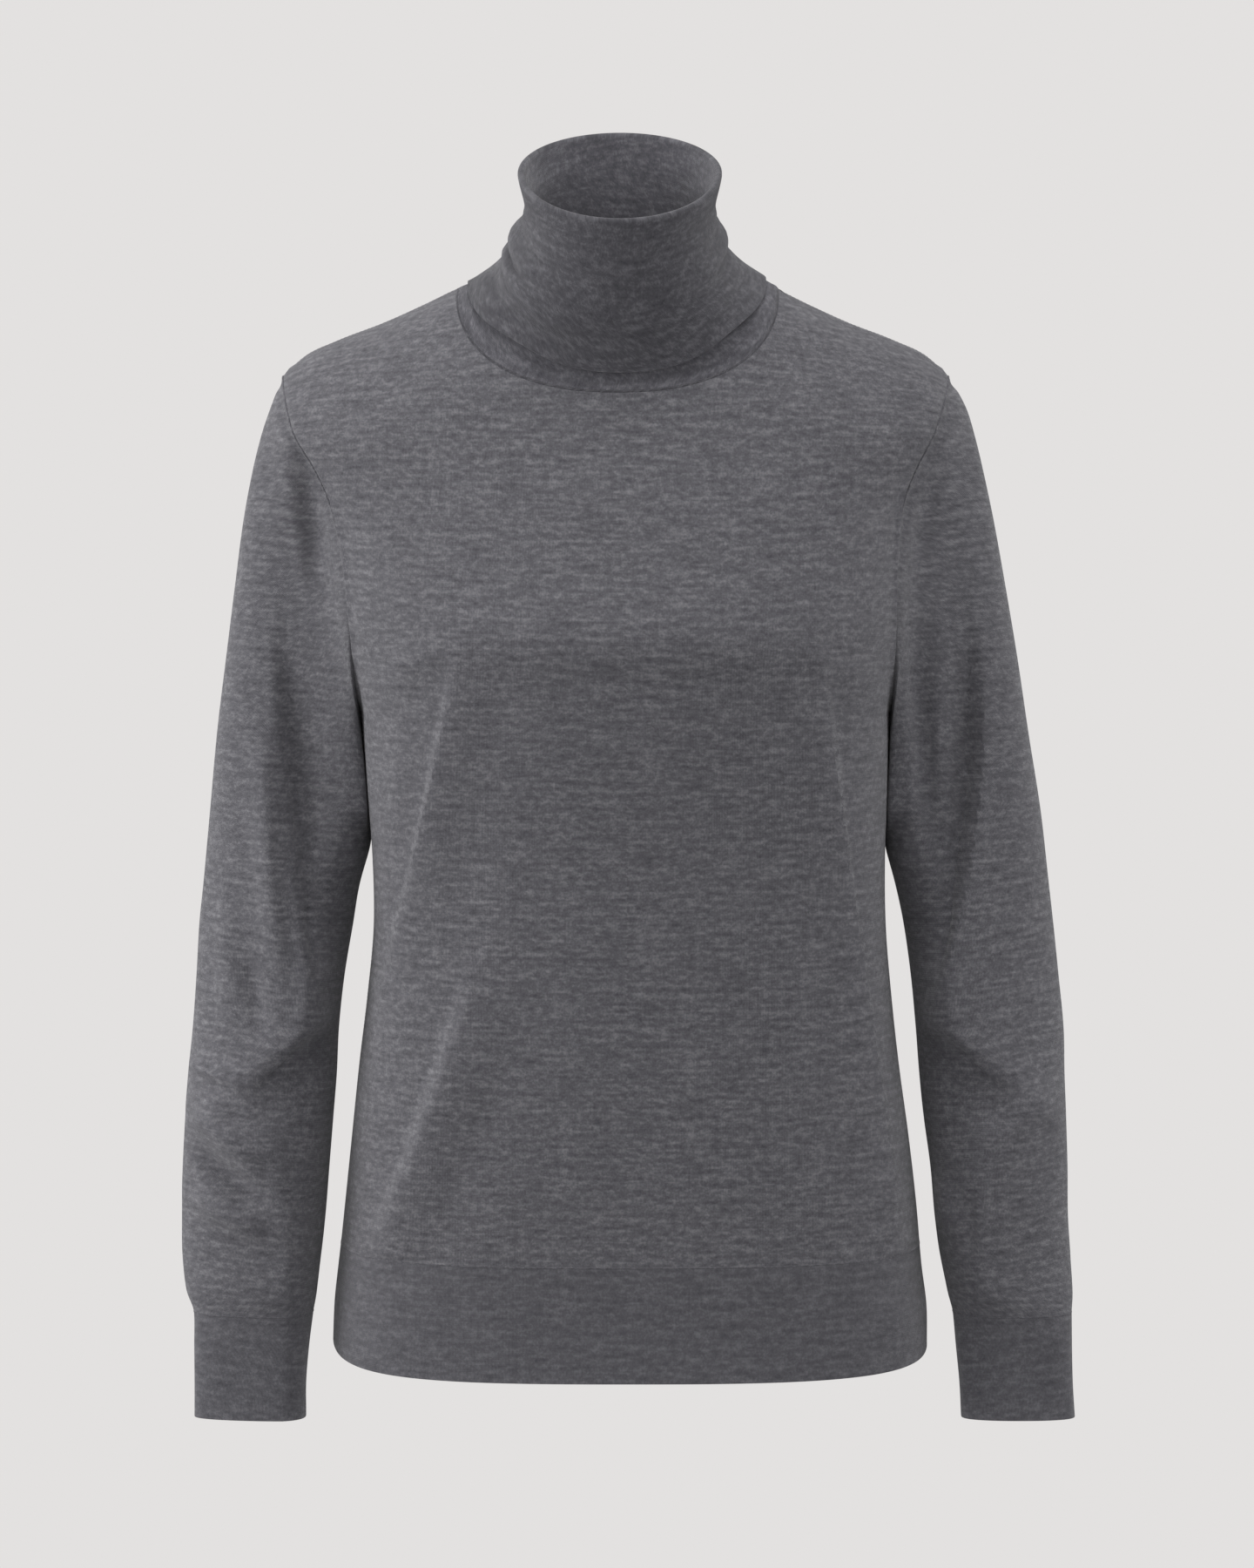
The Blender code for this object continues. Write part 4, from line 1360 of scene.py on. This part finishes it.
    def seams(self) -> list[LinkedSeam]:
        """List the armhole's seam, halfway between body and sleeve.

        Returns:
            That one seam.
        """
        turn = np.linspace(0.0, TURN, self.seam_steps + 1)
        edge = self.points()[0]
        edge = resample(turn, np.linspace(0.0, TURN, len(edge)), edge)
        middle = (self.form.armhole(self.arm, turn) + edge) / 2.0
        return [LinkedSeam.ring(f"armhole_seam_{self.arm.word}", middle, radius=self.seam_radius,
                                sunk=self.seam_sunk)]


@dataclass
class Cuff(Sleeve):
    """The close band at the foot of a sleeve."""

    rows: int = 28

    def points(self) -> Points:
        """Work out the cuff.

        Returns:
            Rows and columns of points.
        """
        last = len(SLEEVE_RIGHT) - 1
        grid = self.rings(np.linspace(self.cuff_row, last, self.rows + 1))
        grid[0, :, 2] -= self.seam_gap / 2.0
        return grid

    def seams(self) -> list[LinkedSeam]:
        """The seam between sleeve and cuff."""
        path = self.rings(np.array([self.cuff_row]))[0]
        return [LinkedSeam.ring(f"cuff_seam_{self.arm.word}", path)]


@dataclass
class Collar(GarmentPiece):
    """The tall collar: one sheet that stands up from the neck seam, turns over and comes down.

    A share of its height is 0 at the neck seam and 1 at the turned edge. The sizes named band say
    at which share the outer layer's free edge lies, and those named lift how far it stands off.
    """

    band_front: float = 0.155
    band_back: float = 0.12
    band_right: float = 0.15
    band_left: float = 0.21
    band_bulge: float = 0.06
    foot_band: float = 0.2
    foot_gap: float = 1.5 * MM
    turn_radius: float = 0.55 * MM
    side_tuck: float = 0.7
    side_power: int = 8
    lift_front: float = 2.0 * MM
    lift_back: float = 0.5 * MM
    lift_power: int = 6
    rim_square: float = 2.0
    fullness: float = 0.55
    slope_step: float = 0.01
    half_steps: int = 96
    stand_steps: int = 40
    turn_steps: int = 7
    outer_steps: int = 44
    seam_radius: float = 0.95 * MM
    seam_sunk: float = 0.8 * MM
    closed: ClassVar[bool] = True

    def _rings(self, shares: Points, angle: Points) -> Points:
        """Work out rings of the form under the collar.

        Args:
            shares: The points' shares of the collar's height.
            angle: Their angles round the neck.

        Returns:
            Rows and columns of points.
        """
        table = Profile(NECK, "share")

        def column(name: str) -> Points:
            """A column of the table at every share."""
            return table.read(name, shares) * MM

        square = self.form.neck_square + (self.rim_square - self.form.neck_square) * shares
        ahead = np.abs(np.cos(angle))
        is_front = np.cos(angle) >= 0.0
        end_y = np.where(is_front, column("front_y"), column("back_y"))
        end_z = np.where(is_front, column("front_z"), column("back_z"))
        middle = (column("left") - column("right")) / 2.0
        half_width = (column("left") + column("right")) / 2.0
        x = middle + half_width * signed_power(np.sin(angle), 2.0 / square)
        full = ahead ** (self.fullness + (1.0 - self.fullness) * shares)
        y = column("side_y") + (end_y - column("side_y")) * full
        z = column("side_z") + (end_z - column("side_z")) * ahead ** (2.0 / square)
        return grid_of(x, y, z)

    def _form(self, shares: Points, angle: Points) -> Points:
        """Work out the form under the collar, with its foot brought exactly to the neck seam.

        Args:
            shares: The points' shares of the collar's height.
            angle: Their angles round the neck.

        Returns:
            Rows and columns of points.
        """
        fade = clamp(1.0 - shares / self.foot_band)[..., None] ** 2
        foot = self.form.neck_seam(angle) - self._rings(np.zeros((1, 1)), angle)[0]
        return self._rings(shares, angle) + fade * foot

    def _frame(self, shares: Points, angle: Points) -> tuple[Points, Points, Points]:
        """Work out the form with its directions.

        Args:
            shares: The points' shares of the collar's height.
            angle: Their angles round the neck.

        Returns:
            The points, the way up the form at each, and the way out of it.
        """
        form = self._form(shares, angle)
        above, below = (self._form(clamp(shares + step), angle)
                        for step in (self.slope_step, -self.slope_step))
        upward = unit(above - below)
        return form, upward, unit(np.cross(unit(wrapped_slope(form)), upward))

    def _angles(self) -> Points:
        """Angles all round the neck, from the wearer's right."""
        front = self.form.half_neck(self.half_steps)
        return np.concatenate([front, math.pi + front[1:]])

    def _free_edge(self, angle: Points) -> Points:
        """Work out where the outer layer's free edge lies.

        Args:
            angle: Angles round the neck.

        Returns:
            Its share of the collar's height there.
        """
        half = (self.band_left - self.band_right) / 2.0
        side = (self.band_left + self.band_right) / 2.0 + np.sin(angle) * half
        is_front = np.cos(angle) >= 0.0
        end = np.where(is_front, self.band_front, self.band_back)
        bulge = np.where(is_front, self.band_bulge, 0.0) * np.sin(2.0 * angle) ** 2
        return side + (end - side) * np.cos(angle) ** 2 + bulge

    def points(self) -> Points:
        """Work out the collar: up the stand, over the turned edge and down the outer layer.

        Returns:
            Rows and columns of points.
        """
        angle = self._angles()
        up = np.linspace(0.0, 1.0, self.stand_steps + 1)[:, None] + 0.0 * angle
        bend = np.linspace(0.0, math.pi, self.turn_steps + 2)[1:-1, None] + 0.0 * angle
        fall = np.linspace(0.0, 1.0, self.outer_steps + 1)[:, None] + 0.0 * angle
        shares = np.concatenate([up, 0 * bend + 1, 1.0 - fall * (1.0 - self._free_edge(angle))])
        past_edge = np.concatenate([0 * up, self.turn_radius * np.sin(bend), 0 * fall])
        beside = np.sin(angle) ** self.side_power
        free = (1.0 - beside) * np.where(np.cos(angle) >= 0.0, self.lift_front, self.lift_back)
        hang = (2 * self.turn_radius * (1.0 - self.side_tuck * beside * fall ** 2)
                + free * fall ** self.lift_power)
        proud = np.concatenate([0 * up, self.turn_radius * (1.0 - np.cos(bend)), hang])
        foot = np.concatenate([clamp(1.0 - up / self.foot_band) ** 2, 0 * bend, 0 * fall])
        form, upward, outward = self._frame(shares, angle)
        rolls = sum(roll.lift(shares, np.degrees(angle)[None]) for roll in COLLAR_ROLLS)
        inner = len(up) + len(bend)
        rolls[:inner] = np.minimum(rolls[:inner], 0.0)
        return (form + past_edge[..., None] * upward + (proud + rolls)[..., None] * outward
                + self.foot_gap * foot[..., None] * upward[0])

    def seams(self) -> list[LinkedSeam]:
        """List the neck seam, in the middle of its gap.

        Returns:
            That one seam.
        """
        angle = self._angles()
        form, upward, outward = self._frame(np.zeros((1, 1)) + 0.0 * angle, angle)
        return [LinkedSeam("neck_seam", form[0] + self.foot_gap / 2.0 * upward[0], outward[0],
                           radius=self.seam_radius, sunk=self.seam_sunk)]


def set_round(item: bpy.types.Object, aim: Place, distance: float, azimuth: float,
              elevation: float) -> None:
    """Set a lamp or a camera at a distance from a point, facing it.

    Args:
        item: The lamp or camera.
        aim: The point, in metres.
        distance: How far from it, in metres.
        azimuth: 0 in front, 90 to the wearer's left.
        elevation: Degrees above level.
    """
    turn, tilt = math.radians(azimuth), math.radians(elevation)
    item.location = (aim[0] + distance * math.sin(turn) * math.cos(tilt),
                     aim[1] - distance * math.cos(turn) * math.cos(tilt),
                     aim[2] + distance * math.sin(tilt))
    item.rotation_euler = (math.pi / 2.0 - tilt, 0.0, turn)


def soft_lamp(name: str, watts: float, size: float) -> bpy.types.Object:
    """Make a round white lamp that the camera doesn't see.

    Args:
        name: Its name.
        watts: Its power.
        size: Its width, in metres.

    Returns:
        The lamp, not yet set in place.
    """
    lamp = bpy.data.lights.new(name, "AREA")
    lamp.shape = "DISK"
    lamp.size = size
    lamp.energy = watts
    holder = add_object(name, lamp)
    holder.visible_camera = False
    return holder


@dataclass(frozen=True)
class Bank:
    """A large soft lamp, aimed at the middle of the sweater."""

    name: str
    azimuth: float
    elevation: float
    watts: float
    size: float = 1.6
    distance: float = 2.4

    def build(self, aim: Place) -> None:
        """Make the lamp, facing a point."""
        lamp = soft_lamp(self.name, self.watts, self.size)
        set_round(lamp, aim, self.distance, self.azimuth, self.elevation)


@dataclass(frozen=True)
class NeckLamp:
    """A small soft lamp in the hollow of the collar, which shows the inside of its back."""

    watts: float = 0.034
    size: float = 50 * MM
    place: Place = (-4 * MM, -42 * MM, 40 * MM)
    tilt: float = 15.0

    def build(self) -> None:
        """Make the lamp, facing back and a little up."""
        lamp = soft_lamp("neck_lamp", self.watts, self.size)
        lamp.location, lamp.rotation_euler = self.place, (math.radians(90.0 + self.tilt), 0.0, 0.0)


@dataclass(frozen=True)
class Studio:
    """The pale sweep, the lamps and the camera."""

    backdrop: str = "#e3e1e0"
    sky: str = "#ffffff"
    ambient: float = 0.49
    floor: float = -1.1
    sweep_radius: float = 7.0
    sweep_bend: float = 2.0
    sweep_top: float = 9.0
    sweep_hole: float = 0.01
    bend_steps: int = 12
    sweep_steps: int = 64
    lens: float = 117.65
    sensor: float = 36.0
    distance: float = 3.0
    elevation: float = 5.0
    aim: Place = (0.0, 0.0, -0.293)
    banks: tuple[Bank, ...] = (Bank("left_bank", -80, 10, 40), Bank("right_bank", 76, 10, 12.5),
                               Bank("overhead", 0, 80, 29))

    def build(self) -> None:
        """Make everything round the sweater."""
        self._sweep()
        self._camera()
        for bank in self.banks:
            bank.build(self.aim)
        NeckLamp().build()
        world = bpy.data.worlds.new("studio")
        world.use_nodes = True
        sky = world.node_tree.nodes["Background"].inputs
        sky["Color"].default_value = linear(self.sky)
        sky["Strength"].default_value = self.ambient
        bpy.context.scene.world = world
        bpy.context.scene.view_settings.view_transform = "Standard"

    def _sweep(self) -> None:
        """Make a round pale floor that curves up into a wall, seen by the camera alone."""
        sweep = bmesh.new()
        bend = self.sweep_bend
        outline = [(self.sweep_radius * self.sweep_hole, 0.0)]
        outline += [(self.sweep_radius - bend + bend * math.sin(a), bend - bend * math.cos(a))
                    for a in np.linspace(0.0, math.pi / 2.0, self.bend_steps)]
        outline.append((self.sweep_radius, self.sweep_top))
        verts = [sweep.verts.new((r, 0.0, self.floor + z)) for r, z in outline]
        edges = [sweep.edges.new(pair) for pair in zip(verts, verts[1:])]
        bmesh.ops.spin(sweep, geom=verts + edges, cent=(0, 0, 0), axis=(0, 0, 1), angle=TURN,
                       steps=self.sweep_steps, use_merge=True)
        middle = [edge for edge in sweep.edges if edge.is_boundary and edge.verts[0].co.z < 0.0]
        bmesh.ops.holes_fill(sweep, edges=middle)
        mesh = bpy.data.meshes.new("sweep")
        sweep.to_mesh(mesh)
        sweep.free()
        mesh.shade_smooth()
        paper = bpy.data.materials.new("pale_paper")
        paper.use_nodes = True
        tree = paper.node_tree
        # The paper gives its own even light, so that no shadow or falloff shows on it.
        glow = add_node(tree, "ShaderNodeEmission",
                        {"Color": linear(self.backdrop), "Strength": 1.0})
        tree.links.new(glow.outputs[0], tree.nodes["Material Output"].inputs["Surface"])
        mesh.materials.append(paper)
        backdrop = add_object("sweep", mesh)
        for sight in ("diffuse", "glossy", "transmission", "shadow"):
            setattr(backdrop, f"visible_{sight}", False)

    def _camera(self) -> None:
        """Set the camera a little above the sweater's middle, looking down at it."""
        lens = bpy.data.cameras.new("camera")
        lens.lens = self.lens
        lens.sensor_width = self.sensor
        camera = add_object("camera", lens)
        set_round(camera, self.aim, self.distance, 0.0, self.elevation)
        bpy.context.scene.camera = camera


def sweater_pieces(form: WornForm) -> list[GarmentPiece]:
    """List the nine pieces in the order in which they are sewn.

    Args:
        form: The worn shape that they share.

    Returns:
        The pieces.
    """
    body = ("body_front", "body_back")
    pieces: list[GarmentPiece] = []
    for side, folds in ((Side.FRONT, FRONT_CREASES), (Side.BACK, BACK_CREASES)):
        panel, hem = f"body_{side.word}", f"hem_{side.word}"
        pieces.append(BodyPanel(panel, form, FlatCut(0.47, 0.60, 0.245, (hem,)), PLAIN_KNIT,
                                side=side, creases=folds))
        pieces.append(HemBand(hem, form, FlatCut(0.46, 0.067, 0.0305, (panel,)), BAND_KNIT,
                              side=side))
    for arm, folds in ((Arm.RIGHT, RIGHT_SLEEVE_CREASES), (Arm.LEFT, LEFT_SLEEVE_CREASES)):
        sleeve, cuff = f"sleeve_{arm.word}", f"cuff_{arm.word}"
        pieces.append(Sleeve(sleeve, form, FlatCut(0.36, 0.545, 0.13, body), PLAIN_KNIT,
                             arm=arm, creases=folds))
        pieces.append(Cuff(cuff, form, FlatCut(0.155, 0.065, 0.010, (sleeve,)), BAND_KNIT, arm=arm))
    pieces.append(Collar("collar", form, FlatCut(0.48, 0.20, 0.08, body), COLLAR_KNIT))
    return pieces


def main() -> None:
    """Dress the sweater, light it and set the camera."""
    logging.basicConfig(level=logging.INFO, format="%(name)s: %(message)s")
    finishes = {knit: knit.build() for knit in (PLAIN_KNIT, BAND_KNIT, COLLAR_KNIT)}
    for piece in sweater_pieces(WornForm()):
        piece.build(finishes[piece.knit])
    Studio().build()


if __name__ == "__main__":
    main()
